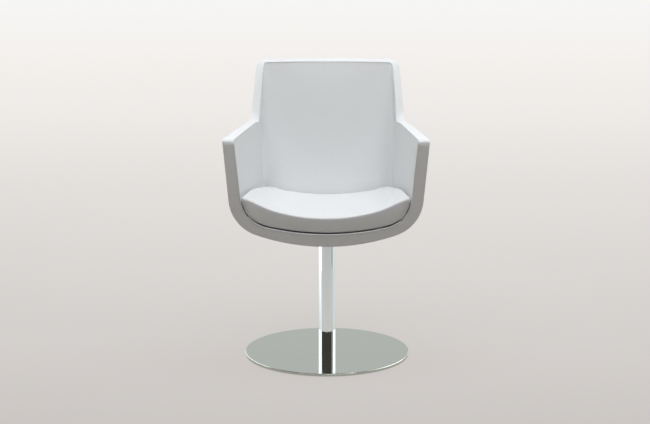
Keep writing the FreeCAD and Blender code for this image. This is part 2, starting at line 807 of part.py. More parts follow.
outer_form = add_trough("outer_form", *OUTER_WALL)
inner_form = add_trough("inner_form", *INNER_WALL)
profile_form = add_profile("profile_form", "0")
tub_wall = add_wall("tub", outer_form, inner_form, profile_form)
tub_form = round_rims("tub_form", tub_wall, profile_form, "Sizes.rim_round")

LEATHER = "Sizes.leather"
foam_outer_form = add_trough("foam_outer_form", *shifted(OUTER_WALL, LEATHER))
foam_inner_form = add_trough("foam_inner_form", *shifted(INNER_WALL, f"-{LEATHER}"))
foam_profile_form = add_profile("foam_profile_form", LEATHER)
foam_wall = add_wall("foam", foam_outer_form, foam_inner_form, foam_profile_form)
foam_form = round_rims("foam_form", foam_wall, foam_profile_form, f"Sizes.rim_round - {LEATHER}")

# Moulded plywood shell inside the foam, of one thickness all over

CORE_OUTSIDE = f"({LEATHER} + Sizes.outer_foam)"
CORE_INSIDE = f"({LEATHER} + Sizes.outer_foam + Sizes.core_thickness)"
core_outer_form = add_trough("core_outer_form", *shifted(OUTER_WALL, CORE_OUTSIDE))
core_inner_form = add_trough("core_inner_form", *shifted(OUTER_WALL, CORE_INSIDE))
core_profile_form = add_profile("core_profile_form", f"({LEATHER} + Sizes.rim_foam)")
core_hollow = boolean("Cut", "core_hollow", core_outer_form, core_inner_form)
shell_core = boolean("Common", "shell_core", core_hollow, core_profile_form)

# Block glued under the shell, flat on the plate, with threaded inserts

BLOCK_HALF = "(Sizes.plate_size / 2 - Sizes.block_margin)"
block_blank = add_raised_body("block_blank")
sketch = add_sketch(block_blank, "XY_Plane")
draw_square(sketch, BLOCK_HALF)
add_pad(block_blank, sketch, "Sizes.wall_bottom")
round_edges(block_blank, is_upright, "Sizes.block_corner")
sketch = add_sketch(block_blank, "XY_Plane")
screw_spot(sketch, "Sizes.insert_diameter / 2")
hole = cut_up(block_blank, sketch, "Sizes.insert_length + Sizes.drill_allowance")
spread_round(block_blank, hole, "Sizes.plate_screw_count")
mount_block = boolean("Cut", "mount_block", block_blank, core_outer_form)

# Window for the block in the foam and leather below the shell

window_blank = add_raised_body("window_blank")
sketch = add_sketch(window_blank, "XY_Plane", FORM_LOW)
draw_square(sketch, f"{BLOCK_HALF} + Sizes.window_gap")
add_pad(window_blank, sketch, "2 * Sizes.wall_bottom")
round_edges(window_blank, is_upright, "Sizes.block_corner + Sizes.window_gap")
window = boolean("Cut", "window", window_blank, core_outer_form)

foam_shell = boolean("Cut", "foam_shell", foam_form, shell_core)
shell_foam = boolean("Cut", "shell_foam", foam_shell, window)

# Leather cover in three panels: a border round the rim, one panel inside and one outside

seam_form = add_profile("seam_form", "Sizes.seam_setback")
rim_ring = boolean("Cut", "rim_ring", tub_form, seam_form)
border_cover = boolean("Cut", "border_cover", rim_ring, foam_form)
inner_layer = boolean("Cut", "inner_layer", foam_inner_form, inner_form)
inner_cover = boolean("Common", "inner_cover", inner_layer, seam_form)
outer_layer = boolean("Cut", "outer_layer", outer_form, foam_outer_form)
outer_panel = boolean("Common", "outer_panel", outer_layer, seam_form)
outer_cover = boolean("Cut", "outer_cover", outer_panel, window)

# Threaded inserts in the block, and the screws and washers below the plate

insert_nuts = add_raised_body("insert_nuts")
insert_nuts.AllowCompound = True
sketch = add_sketch(insert_nuts, "XY_Plane")
screw_spot(sketch, "Sizes.insert_diameter / 2")
screw_spot(sketch, THREAD_HOLE)
nut = add_pad(insert_nuts, sketch, "Sizes.insert_length")
spread_round(insert_nuts, nut, "Sizes.plate_screw_count")

WASHER_TOP = "-Sizes.plate_thickness"
WASHER_BOTTOM = f"{WASHER_TOP} - Sizes.washer_thickness"
plate_washers = add_raised_body("plate_washers")
plate_washers.AllowCompound = True
sketch = add_sketch(plate_washers, "XY_Plane", WASHER_BOTTOM)
screw_spot(sketch, "Sizes.washer_diameter / 2")
screw_spot(sketch, SCREW_HOLE)
washer = add_pad(plate_washers, sketch, "Sizes.washer_thickness")
spread_round(plate_washers, washer, "Sizes.plate_screw_count")

plate_screws = add_raised_body("plate_screws")
plate_screws.AllowCompound = True
sketch = add_sketch(plate_screws, "XY_Plane", WASHER_BOTTOM)
SPOT = f"{PLATE_SCREW_X} * cos(45)"
CORNER = "Sizes.hex_width / 2 / cos(30)"
draw_outline(sketch, [
    (f"{SPOT} + {CORNER} * cos({angle})", f"{SPOT} + {CORNER} * sin({angle})")
    for angle in range(0, 360, 60)
])
hex_head = add_pad(plate_screws, sketch, "Sizes.hex_height")
hex_head.Reversed = True
sketch = add_sketch(plate_screws, "XY_Plane", WASHER_BOTTOM)
screw_spot(sketch, SCREW)
shank = add_pad(plate_screws, sketch, f"-({WASHER_BOTTOM}) + Sizes.plate_screw_reach")
spread_round(plate_screws, hex_head, "Sizes.plate_screw_count")
plate_screws.Tip.Originals = [hex_head, shank]

# Loose seat cushion: it fills the tub above a narrow gap and is dished on top


def front_cut(body, inset):
    """Cuts the body off at the leaning front plane, moved back by an inset."""
    sketch = add_sketch(body, "YZ_Plane")
    ahead = "-2 * Sizes.section_reach"
    high = f"{FORM_TOP} + Sizes.wall_back"
    draw_outline(sketch, [
        (front_y(FORM_LOW, inset), FORM_LOW),
        (front_y(high, inset), high),
        (ahead, high),
        (ahead, FORM_LOW),
    ])
    add_pad(body, sketch, "4 * Sizes.arm_half_front", midplane=True, additive=False)


def lies_on(y_at):
    """Test for edges in a plane given by its y at each height."""
    def test(edge):
        points = [middle(edge)] + [vertex.Point for vertex in edge.Vertexes]
        return all(is_near(point.y, size(y_at(str(point.z)))) for point in points)
    return test


def add_cushion(name, inset):
    """Cushion whose surface lies inside the finished one by an inset."""
    space = shifted(shifted(INNER_WALL, "Sizes.deck_gap"), inset)
    body = add_trough(name, *space)
    dish_sketches = []
    for place, shift in (("front", "Sizes.section_reach"), ("middle", None),
                         ("rear", "-Sizes.section_reach")):
        sketch = add_sketch(body, "XZ_Plane", shift)
        draw_arch(sketch, f"Sizes.cushion_rise_{place} - ({inset})",
                  f"(Sizes.dish_radius_{place} + {inset})",
                  "Sizes.arm_half_front", f"{FORM_TOP} + Sizes.wall_back", rises=True)
        dish_sketches.append(sketch)
    dish = body.newObject("PartDesign::SubtractiveLoft", name + "_dish")
    dish.Profile = dish_sketches[0]
    dish.Sections = dish_sketches[1:]
    set_back = f"(Sizes.cushion_setback + {inset})"
    front_cut(body, set_back)
    doc.recompute()
    middle_spot = Part.Vertex(0, 0, size("Sizes.cushion_rise_middle"))
    top_face = min(body.Tip.Shape.Faces, key=lambda face: face.distToShape(middle_spot)[0])
    is_front = lies_on(lambda height: front_y(height, set_back))
    is_back = lies_on(lambda height: back_plane_y(height, space[2]))

    def is_rim(edge):
        return is_front(edge) or is_back(edge) or any(map(edge.isSame, top_face.Edges))

    round_edges(body, is_rim, f"Sizes.cushion_edge_radius - ({inset})")
    return body


def add_box(name, corner, lengths):
    """Box from a corner, whose height is measured from the plate's top, and three lengths."""
    box = doc.addObject("Part::Box", name)
    across, along, up = corner
    corner = (across, along, f"{up} + {PLATE_TOP}")
    for axis, start, side, length in zip("xyz", corner, ("Length", "Width", "Height"), lengths):
        bind(box, f".Placement.Base.{axis}", start)
        bind(box, side, length)
    return box


cushion_form = add_cushion("cushion_form", "0")
cushion_foam = add_cushion("cushion_foam", LEATHER)
cushion_skin = boolean("Cut", "cushion_skin", cushion_form, cushion_foam)

# Zip across the back of the cushion's cover

zip_box = add_box(
    "zip_box",
    ("-Sizes.zip_length / 2", "Sizes.front_reach / 4", "Sizes.zip_rise - Sizes.zip_width / 2"),
    ("Sizes.zip_length", "Sizes.section_reach", "Sizes.zip_width"))
cushion_cover = boolean("Cut", "cushion_cover", cushion_skin, zip_box)
cushion_zip = boolean("Common", "cushion_zip", cushion_skin, zip_box)

# Two pairs of hook and loop strips that keep the cushion in place and fill the gap under it

HALF_GAP = "Sizes.deck_gap / 2"
gap_form = add_trough("gap_form", *shifted(INNER_WALL, HALF_GAP))
STRIP_TOP = "(Sizes.cushion_rise_rear - Sizes.cushion_edge_radius)"
strip_boxes = []
for side_name, side in (("left", ""), ("right", "-")):
    strip_boxes.append(add_box(
        f"strip_box_{side_name}",
        (f"{side}Sizes.strip_spacing / 2 - Sizes.strip_width / 2", "-Sizes.strip_length / 2",
         "Sizes.belly_rise_rear"),
        ("Sizes.strip_width", "Sizes.strip_length", f"{STRIP_TOP} - Sizes.belly_rise_rear")))
strip_zone = doc.addObject("Part::Compound", "strip_zone")
strip_zone.Links = strip_boxes
loop_layer = boolean("Common", "loop_layer", inner_form, strip_zone)
loop_strips = boolean("Cut", "loop_strips", loop_layer, gap_form)
hook_layer = boolean("Common", "hook_layer", gap_form, strip_zone)
hook_strips = boolean("Cut", "hook_strips", hook_layer, cushion_form)

# Check the model and write one file for each piece

NODES = [
    base_disc, glide_pads, column_tube, foot_plug, foot_screws, bearing_housing, upper_bush,
    lower_bush, thrust_race_lower, thrust_cage, thrust_balls, thrust_race_upper,
    swivel_spindle, spindle_washer, spindle_circlip, swivel_skirt, seat_plate, mount_block,
    insert_nuts, plate_washers, plate_screws, shell_core, shell_foam, border_cover,
    inner_cover, outer_cover, cushion_cover, cushion_foam, cushion_zip, loop_strips,
    hook_strips,
]

doc.recompute()
for item in doc.Objects:
    if {"Invalid", "Error"} & set(item.State):
        raise RuntimeError(f"{item.Label} failed: {item.State}")
for node in NODES:
    if node.Shape.isNull() or not node.Shape.isValid() or not node.Shape.Solids:
        raise RuntimeError(f"{node.Label} has no valid solid")

os.makedirs("parts", exist_ok=True)
for node in NODES:
    node.Shape.exportStep(f"parts/{node.Label}.step")
    box = node.Shape.BoundBox
    print(f"{node.Label:18} solids {len(node.Shape.Solids):2}  volume {node.Shape.Volume / 1000:9.2f} cm3"
          f"  z {box.ZMin:7.2f} to {box.ZMax:7.2f}")
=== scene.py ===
# %% [markdown]
# # A pedestal swivel armchair
#
# A white leather tub on a steel column and a round polished foot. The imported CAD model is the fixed
# frame: everything below is placed in its space, in metres, with the front of the seat towards -Y.

# %% Load the frame
from math import atan2, cos, pi, radians, sin, sqrt, tan

import bpy
import numpy as np
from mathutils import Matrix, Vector
from mathutils.kdtree import KDTree


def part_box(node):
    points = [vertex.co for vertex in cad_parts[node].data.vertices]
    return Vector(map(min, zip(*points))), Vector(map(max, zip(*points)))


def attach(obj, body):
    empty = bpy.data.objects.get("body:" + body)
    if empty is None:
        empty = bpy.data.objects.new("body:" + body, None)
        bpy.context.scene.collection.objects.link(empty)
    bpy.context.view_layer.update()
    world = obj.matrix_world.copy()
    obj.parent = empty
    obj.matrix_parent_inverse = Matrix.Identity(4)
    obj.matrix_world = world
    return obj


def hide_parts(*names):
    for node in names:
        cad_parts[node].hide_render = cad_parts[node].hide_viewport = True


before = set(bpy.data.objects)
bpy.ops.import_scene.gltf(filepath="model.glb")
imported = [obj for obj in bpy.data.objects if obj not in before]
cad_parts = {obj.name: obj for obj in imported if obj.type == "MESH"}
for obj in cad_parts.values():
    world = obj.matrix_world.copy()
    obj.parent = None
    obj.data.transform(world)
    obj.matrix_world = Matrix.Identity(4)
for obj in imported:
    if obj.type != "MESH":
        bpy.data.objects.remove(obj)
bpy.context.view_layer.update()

# %% [markdown]
# ## Camera
#
# The photograph was taken from 4 m away, a little above the arms, looking down by ten and a half
# degrees. A long lens keeps the sides of the tub nearly parallel. The seat was turned by not quite a
# degree against it, so the camera goes round the column by as much.

# %% Camera
VIEW_DISTANCE, VIEW_SHIFT, VIEW_HEIGHT = 4.0, 0.0064, 1.1839
VIEW_DROP, VIEW_TURN = radians(10.538), radians(0.8)
scene = bpy.context.scene
scene.view_settings.view_transform = "Standard"
bpy.ops.object.camera_add(
    location=(VIEW_DISTANCE * sin(VIEW_TURN) - VIEW_SHIFT * cos(VIEW_TURN),
              -VIEW_DISTANCE * cos(VIEW_TURN) - VIEW_SHIFT * sin(VIEW_TURN), VIEW_HEIGHT),
    rotation=(pi / 2 - VIEW_DROP, 0, VIEW_TURN))
camera = bpy.context.object
camera.data.lens = 74.75
camera.data.sensor_width = 36
scene.camera = camera
print("camera", [round(value, 3) for value in camera.location], "lens", camera.data.lens)

# %% [markdown]
# ## Floor
#
# The studio floor is one pale sweep that grows brighter away from the camera. A lit plane alone would
# fall off the other way, so camera and mirror rays see mostly a soft glow: painted light, whose
# brightness by distance stands in for how the studio lights the floor. All other rays meet a plain matt
# floor, which keeps the shadow and throws warm light upwards.

# %% Helpers for materials


def new_material(name):
    """Material with its nodes, its links and its Principled shader."""
    material = bpy.data.materials.new(name)
    material.use_nodes = True
    nodes = material.node_tree.nodes
    return material, nodes, material.node_tree.links, nodes["Principled BSDF"]


def add_node(nodes, kind, **inputs):
    """Shader node with its inputs set by name; an underscore stands for a space."""
    node = nodes.new("ShaderNode" + kind)
    for name, value in inputs.items():
        node.inputs[name.replace("_", " ")].default_value = value
    return node


def add_math(nodes, operation, **values):
    """Math node; its values are named by their place, as first, second or third."""
    node = nodes.new("ShaderNodeMath")
    node.operation = operation
    for name, value in values.items():
        node.inputs[("first", "second", "third").index(name)].default_value = value
    return node


MIX_FIRST, MIX_SECOND, MIX_RESULT = 6, 7, 2


def add_mix(nodes, first=(1, 1, 1, 1), second=(1, 1, 1, 1), blend="MIX"):
    """Node that mixes two colours by its factor."""
    node = nodes.new("ShaderNodeMix")
    node.data_type = "RGBA"
    node.blend_type = blend
    node.inputs[MIX_FIRST].default_value = first
    node.inputs[MIX_SECOND].default_value = second
    return node


def linear(red, green, blue):
    """Colour as a picture shows it, 0 to 255, in the linear values that shaders take."""
    def one(value):
        share = value / 255
        return share / 12.92 if share <= 0.04045 else ((share + 0.055) / 1.055) ** 2.4
    return (one(red), one(green), one(blue), 1.0)


# %% Matt floor
bpy.ops.mesh.primitive_plane_add(size=120, location=(0, 0, 0))
floor = bpy.context.object
floor.name = "studio_floor"
material, nodes, links, shader = new_material("pale_sweep")
shader.inputs["Base Color"].default_value = (0.392, 0.347, 0.298, 1)
shader.inputs["Roughness"].default_value = 1.0
shader.inputs["Specular IOR Level"].default_value = 0.0
floor.data.materials.append(material)
print("floor", [round(value, 1) for value in floor.dimensions])

# %% Gradient of the sweep, by the distance in front of the camera
NEARNESS = 2.0
# Stops of nearness, from the far end to the camera, with the painted brightness of the floor there
PAINTED_SWEEP = [(0.0, (254, 254, 253)), (0.047, (253, 253, 252)), (0.121, (250, 246, 243)),
         (0.196, (243, 239, 236)), (0.274, (232, 228, 225)), (0.351, (223, 219, 216)),
         (0.429, (213, 209, 206)), (0.509, (206, 201, 198)), (0.590, (198, 193, 190)),
         (0.95, (181, 179, 178))]
place = add_node(nodes, "TexCoord")
split = add_node(nodes, "SeparateXYZ")
links.new(place.outputs["Object"], split.inputs[0])
from_camera = add_math(nodes, "ADD", second=VIEW_DISTANCE)
links.new(split.outputs["Y"], from_camera.inputs[0])
nearness = add_math(nodes, "DIVIDE", first=NEARNESS)
nearness.use_clamp = True
links.new(from_camera.outputs[0], nearness.inputs[1])
ramp = add_node(nodes, "ValToRGB")
links.new(nearness.outputs[0], ramp.inputs[0])
while len(ramp.color_ramp.elements) < len(PAINTED_SWEEP):
    ramp.color_ramp.elements.new(0.5)
for element, (position, colour) in zip(ramp.color_ramp.elements, PAINTED_SWEEP):
    element.position = position
for element, (position, colour) in zip(ramp.color_ramp.elements, PAINTED_SWEEP):
    element.color = linear(*colour)
print("sweep", len(ramp.color_ramp.elements), "stops")

# %% Glow for the camera and for mirrors
# Painted light: camera and mirror rays see the floor glow with the sweep's brightness
glow = add_node(nodes, "Emission", Strength=0.90)
links.new(ramp.outputs[0], glow.inputs["Color"])
shade = add_node(nodes, "BsdfDiffuse", Color=(0.115, 0.112, 0.108, 1))
both = add_node(nodes, "AddShader")
links.new(glow.outputs[0], both.inputs[0])
links.new(shade.outputs[0], both.inputs[1])
path = add_node(nodes, "LightPath")
seen = add_math(nodes, "MAXIMUM")
links.new(path.outputs["Is Camera Ray"], seen.inputs[0])
links.new(path.outputs["Is Glossy Ray"], seen.inputs[1])
choice = add_node(nodes, "MixShader")
links.new(seen.outputs[0], choice.inputs[0])
links.new(shader.outputs[0], choice.inputs[1])
links.new(both.outputs[0], choice.inputs[2])
links.new(choice.outputs[0], nodes["Material Output"].inputs["Surface"])
print("floor material", len(nodes), "nodes")

# %% [markdown]
# ## Light
#
# A large soft box overhead lights the seat and the tops of the arms and leaves the front in shade. The
# studio behind the chair is white and the space behind the camera is dark, and both show in the metal.
# White cards at both sides draw the bright lines along the edges of the column.

# %% Soft box


def add_soft_box(name, place, target, width, depth, power, colour):
    """Rectangular lamp at a place, turned to face a target."""
    bpy.ops.object.light_add(type="AREA", location=place)
    lamp = bpy.context.object
    lamp.name = name
    lamp.data.shape = "RECTANGLE"
    lamp.data.size = width
    lamp.data.size_y = depth
    lamp.data.energy = power
    lamp.data.color = colour
    way = Vector(target) - Vector(place)
    lamp.rotation_euler = way.to_track_quat("-Z", "Y").to_euler()
    return lamp


soft_box = add_soft_box("overhead_box", (0.10, -0.52, 2.35), (0, -0.05, 0.5),
                        width=2.5, depth=1.3, power=38.6, colour=(0.935, 0.975, 1.0))
print("soft box", soft_box.data.energy, "W")

# %% Cards that only mirrors see


def add_card(name, centre, size, upright, glow, rise=0):
    """Card beside the chair, upright or on the floor; it shows in metal and gives no light."""
    bpy.ops.mesh.primitive_plane_add(size=1, location=centre,
                                     rotation=(0, pi / 2 if upright else 0, 0))
    card = bpy.context.object
    card.name = name
    card.scale = (size[0], size[1], 1)
    material, nodes, links, shader = new_material(name + "_white")
    nodes.remove(shader)
    emission = add_node(nodes, "Emission", Color=(0.97, 1, 0.99, 1), Strength=glow)
    links.new(emission.outputs[0], nodes["Material Output"].inputs["Surface"])
    if rise:
        # A floor card grows brighter towards its outer edge, where the upright card takes over
        along = add_node(nodes, "SeparateXYZ")
        links.new(add_node(nodes, "TexCoord").outputs["Object"], along.inputs[0])
        grow = add_node(nodes, "MapRange", From_Min=-0.5, From_Max=0.5,
                        To_Min=glow + rise, To_Max=glow)
        links.new(along.outputs["X"], grow.inputs["Value"])
        links.new(grow.outputs["Result"], emission.inputs["Strength"])
    card.data.materials.append(material)
    card.visible_camera = False
    card.visible_diffuse = False
    card.visible_shadow = False
    card.visible_transmission = False
    return card


cards = [
    add_card("card_left", (-1.15, 1.5, 0.75), (1.5, 3.4), True, 2.4),
    add_card("card_left_floor", (-0.70, 1.45, 0.001), (0.90, 3.1), False, 0.80, rise=0.55),
    add_card("card_right_low", (1.15, 1.53, 0.085), (0.17, 3.34), True, 0.80),
    add_card("card_right_floor", (0.70, 1.50, 0.001), (0.90, 3.0), False, 0.74),
    add_card("card_right_high", (1.15, 1.59, 0.84), (1.33, 3.22), True, 2.4),
    add_card("card_right_dark", (1.15, -0.38, 0.25), (0.5, 0.44), True, 0.36),
]
print("cards", [card.name for card in cards])

# %% World, white behind the chair and dark behind the camera
world = bpy.data.worlds.new("studio")
scene.world = world
world.use_nodes = True
nodes = world.node_tree.nodes
links = world.node_tree.links
place = add_node(nodes, "TexCoord")
split = add_node(nodes, "SeparateXYZ")
links.new(place.outputs["Generated"], split.inputs[0])
behind = add_node(nodes, "MapRange", From_Min=-0.35, From_Max=0.6)
links.new(split.outputs["Y"], behind.inputs["Value"])
studio = add_mix(nodes, (0.080, 0.071, 0.060, 1), (0.72, 0.73, 0.735, 1))
links.new(behind.outputs[0], studio.inputs[0])
path = add_node(nodes, "LightPath")
shown = add_mix(nodes, second=linear(250, 249, 248))
links.new(path.outputs["Is Camera Ray"], shown.inputs[0])
links.new(studio.outputs[MIX_RESULT], shown.inputs[MIX_FIRST])
links.new(shown.outputs[MIX_RESULT], nodes["Background"].inputs["Color"])
nodes["Background"].inputs["Strength"].default_value = 1.0
print("world", world.name)

# %% [markdown]
# ## Shape of the tub
#
# The tub is a trough between two walls: a wide leaning U at the front that narrows to a straight U at
# the back, closed by a reclined back. Its rim follows a side profile: leaning front, arm, wing, crown.
# The solids are built from the same curves. Leather pulled over foam differs by a few millimetres from
# the plain form, so the sizes here are a little finer: the arms fall slightly, the side walls thin
# towards the back and the lower corners are fuller.

# %% Sizes of the tub in millimetres, heights above the plate
PLATE_TOP = 382.0
ARM_RISE, ARM_FALL, ARM_LEAN = 320.0, radians(1.2), radians(6.5)
BACK_RISE, BACK_REACH, BACK_RECLINE = 500.0, 285.0, radians(9.8)
FRONT_REACH, FRONT_TILT, FRONT_FOOT = 285.0, radians(4.3), 11.0
WING_FOOT, WING_ANGLE = 150.0, radians(60)
NOSE, NOTCH, SHOULDER, CROWN = 14.0, 55.0, 18.0, 4200.0
FORM_TOP = 528.0
FORM_FRONT, FORM_DEPTH = -300.0, 600.0
# Front and rear section of each wall: half width at the arms, bottom, belly radius, corner radius.
# Then how far the wall stands in from the back, and the rounding between its sides and its back
WALLS = {
    "outer": {"front": (296.5, FRONT_FOOT, 608.0, 115.0), "rear": (215.0, 3.0, 900.0, 92.0),
              "back": 0.0, "round": 60.0},
    "inner": {"front": (263.5, 43.8, 740.0, 98.0), "rear": (195.0, 39.0, 864.0, 67.0),
              "back": 34.0, "round": 12.0},
}
print("arms", ARM_RISE + PLATE_TOP, "mm and back", BACK_RISE + PLATE_TOP, "mm above the floor")

# %% Section of the trough


def ease(value, low, high):
    """Goes from 0 at the low value to 1 at the high one, level at both ends."""
    share = np.clip((np.asarray(value, float) - low) / (high - low), 0, 1)
    return share * share * (3 - 2 * share)


def trough_section(lean, half, bottom, belly, corner):
    """Points (x, z) of half a U, as a function of a share: 0-1 side, 1-2 corner, 2-3 belly."""
    top = np.array([half + (FORM_TOP - ARM_RISE) * tan(lean), FORM_TOP])
    along = np.array([sin(lean), cos(lean)])
    inward = np.array([-cos(lean), sin(lean)])
    middle = np.array([0.0, bottom + belly])
    start = top + inward * corner - middle
    slide = start @ along + sqrt((start @ along) ** 2 - start @ start + (belly - corner) ** 2)
    hub = middle + start - along * slide
    side_end = hub - inward * corner
    turn = atan2(hub[1] - middle[1], hub[0])

    def at(share):
        share = np.asarray(share, float)
        side = top + (side_end - top) * share[..., None]
        bend = -lean + (turn + lean) * (share - 1)
        arc = hub + corner * np.stack([np.cos(bend), np.sin(bend)], -1)
        sweep = turn + (-pi / 2 - turn) * (share - 2)
        low = middle + belly * np.stack([np.cos(sweep), np.sin(sweep)], -1)
        which = share[..., None]
        return np.where(which < 1, side, np.where(which < 2, arc, low))
    return at


# %% Wall of the trough


class Trough:
    """Ruled surface of one wall of the tub: x and z from a share of the U and a depth y."""

    def __init__(self, front, rear, back):
        self.back = back
        self.front = trough_section(ARM_LEAN, *front)
        self.rear = trough_section(0.0, *rear)
        self.shares = np.linspace(0, 3, 1201)
        self.front_dense = self.front(self.shares)
        self.rear_dense = self.rear(self.shares)

    def at(self, share, y):
        """Points on the surface; share may be negative above the side's own top."""
        depth = ((np.asarray(y, float) - FORM_FRONT) / FORM_DEPTH)[..., None]
        return self.front(share) * (1 - depth) + self.rear(share) * depth

    def share_at(self, y, z):
        """Share of the U at a depth and a height."""
        depth = (y - FORM_FRONT) / FORM_DEPTH
        heights = self.front_dense[:, 1] * (1 - depth) + self.rear_dense[:, 1] * depth
        return float(np.interp(-z, -heights, self.shares))

    def back_y(self, z):
        """Depth of the reclined back at a height."""
        return BACK_REACH - self.back / cos(BACK_RECLINE) - (BACK_RISE - z) * tan(BACK_RECLINE)

    def normal(self, share, y):
        """Normal that points into the wall's inside, towards the seat."""
        step = 0.5
        low, high = self.at(share - 0.004, y), self.at(share + 0.004, y)
        near, far = self.at(share, y - step), self.at(share, y + step)
        across = np.stack([high[..., 0] - low[..., 0], np.zeros_like(high[..., 0]),
                           high[..., 1] - low[..., 1]], -1)
        deep = np.stack([far[..., 0] - near[..., 0], np.full_like(far[..., 0], 2 * step),
                         far[..., 1] - near[..., 1]], -1)
        normal = np.cross(deep, across)
        return normal / np.linalg.norm(normal, axis=-1)[..., None]


troughs = {kind: Trough(wall["front"], wall["rear"], wall["back"]) for kind, wall in WALLS.items()}
print("back of the trough at the plate", {kind: round(trough.back_y(0), 1)
                                          for kind, trough in troughs.items()})

# %% [markdown]
# ## Side profile of the rim
#
# Seen from the side, the rim is a line with three rounded corners: the nose of the arm, the notch
# before the wing and the shoulder. One line of points with its length and its inward direction is
# enough to place every row of the leather at an even distance from the edge.

# %% Rim


def front_y(z, inset=0.0):
    """Depth of the leaning front of the tub at a height."""
    return -FRONT_REACH + inset / cos(FRONT_TILT) + (z - FRONT_FOOT) * tan(FRONT_TILT)


class Rim:
    """Side profile of the rim, from below the front to the back, by length from the nose."""

    ARC_POINTS = 41

    def __init__(self, crown):
        points = [np.atleast_2d(corner) for corner in self.corners(crown)]
        line = points[:1]
        for index, radius in ((1, NOSE), (2, NOTCH), (3, SHOULDER)):
            hub, arc = self.round_off(*(points[index + step][0] for step in (-1, 0, 1)), radius)
            if index == 1:
                self.nose_hub = hub
                self.nose_middle = len(line) + self.ARC_POINTS // 2
            line.append(arc)
        self.line = np.concatenate(line + points[4:])
        steps = np.diff(self.line, axis=0)
        lengths = np.linalg.norm(steps, axis=1)
        tangents = steps / lengths[:, None]
        smooth = np.concatenate([tangents[:1], (tangents[1:] + tangents[:-1]) / 2, tangents[-1:]])
        smooth /= np.linalg.norm(smooth, axis=1)[:, None]
        self.inward = np.stack([smooth[:, 1], -smooth[:, 0]], -1)
        self.length = np.concatenate([[0], np.cumsum(lengths)])
        self.length -= self.length[self.nose_middle]

    @staticmethod
    def corners(crown):
        """Sharp corners (y, z) of the profile, for a crown of a given height."""
        foot_z, far_y = -40.0, 420.0
        arm_slope, wing_slope = tan(ARM_FALL), tan(WING_ANGLE)
        nose_z = ((ARM_RISE + (front_y(0) - WING_FOOT) * arm_slope)
                  / (1 - tan(FRONT_TILT) * arm_slope))
        return [np.array([front_y(foot_z), foot_z]), np.array([front_y(nose_z), nose_z]),
                np.array([WING_FOOT, ARM_RISE]),
                np.array([WING_FOOT + (crown - ARM_RISE) / wing_slope, crown]),
                np.array([far_y, crown])]

    @classmethod
    def round_off(cls, before, corner, after, radius):
        """Centre and points of the arc that rounds a corner between two others."""
        back, ahead = before - corner, after - corner
        back, ahead = back / np.linalg.norm(back), ahead / np.linalg.norm(ahead)
        half_angle = np.arccos(np.clip(back @ ahead, -1, 1)) / 2
        length = radius / tan(half_angle)
        hub = corner + (back + ahead) / np.linalg.norm(back + ahead) * radius / sin(half_angle)
        start, end = corner + back * length, corner + ahead * length
        first = atan2(*(start - hub)[::-1])
        turn = (atan2(*(end - hub)[::-1]) - first + pi) % (2 * pi) - pi
        sweep = first + turn * np.linspace(0, 1, cls.ARC_POINTS)
        return hub, hub + radius * np.stack([np.cos(sweep), np.sin(sweep)], -1)

    def at(self, length, inset=0.0):
        """Point (y, z) at a length along the rim, moved inwards by an inset."""
        y, z = (np.interp(length, self.length, self.line[:, i]) for i in (0, 1))
        ny, nz = (np.interp(length, self.length, self.inward[:, i]) for i in (0, 1))
        size = sqrt(ny * ny + nz * nz)
        return y + inset * ny / size, z + inset * nz / size

    def height(self, y):
        """Height of the top of the rim over a depth."""
        top = slice(self.nose_middle, None)
        return np.interp(y, self.line[top, 0], self.line[top, 1])

    def front(self, z):
        """Depth of the front of the rim at a height."""
        low = slice(0, self.nose_middle + 1)
        return float(np.interp(z, self.line[low, 1], self.line[low, 0]))

    def length_below(self, z):
        """Length along the rim, negative, of a height below the nose."""
        low = slice(0, self.nose_middle + 1)
        return float(np.interp(z, self.line[low, 1], self.length[low]))


def crown_height(x):
    """Height of the gently arched crown over a place across the chair."""
    return BACK_RISE - (CROWN - np.sqrt(CROWN ** 2 - np.asarray(x, float) ** 2))


print("rim length", round(Rim(BACK_RISE).length[-1]), "mm from the nose")

# %% Softness of the rim
NOTCH_DIP, NOTCH_SPREAD, CROWN_DIP = 9.0, 40.0, 1.0


def soften(y, z):
    """How far the inner edge of the rim lies below its outer edge: at the notch and on the crown."""
    notch = np.exp(-((np.asarray(y, float) - WING_FOOT) / NOTCH_SPREAD) ** 2)
    return NOTCH_DIP * notch + CROWN_DIP * ease(z, 430, 485)


print("dip at the notch", NOTCH_DIP, "mm")

# %% [markdown]
# ## Net of vertices on one wall
#
# Each wall is a box without its front and its lid: two sides, a bottom and a back. A cube is cut into a
# fine grid, and each vertex goes to its place on the wall. Rows keep their distance from the rim, so
# that the seam between the border and the panels runs at an even distance all the way round. Past
# those rows, the grid is filled in evenly between its four edges.

# %% Rows and steps of the net
ROWS = {"outer": [0.0, 8.6, 10.0, 11.4], "inner": [0.0, 11.2, 12.2, 13.2]}
SEAM = 2
LAST_ROW = 3
DEEP, HIGH, WIDE = 76, 30, 44
NOSE_STEPS, ARM_STEPS, SIDE_STEPS = 4, 36, 17
NOSE_LENGTH, ARM_END, SHIFT_FADE = 10.0, 90.0, 12


def spread(start, end, count, first, last):
    """Stations from start to end, with a first and a last spacing that blend evenly."""
    place = np.linspace(0, 1, count + 1)
    weights = first + (last - first) * (place[1:] + place[:-1]) / 2
    steps = np.concatenate([[0], np.cumsum(weights)])
    return start + (end - start) * steps / steps[-1]


def length_at_back(trough, rim, inset):
    """Length along the rim at which it meets the back, at an inset."""
    low, high = 430.0, rim.length[-1] - 1
    for _ in range(50):
        middle = (low + high) / 2
        y, z = rim.at(middle, inset)
        low, high = (middle, high) if y < trough.back_y(z) else (low, middle)
    return (low + high) / 2


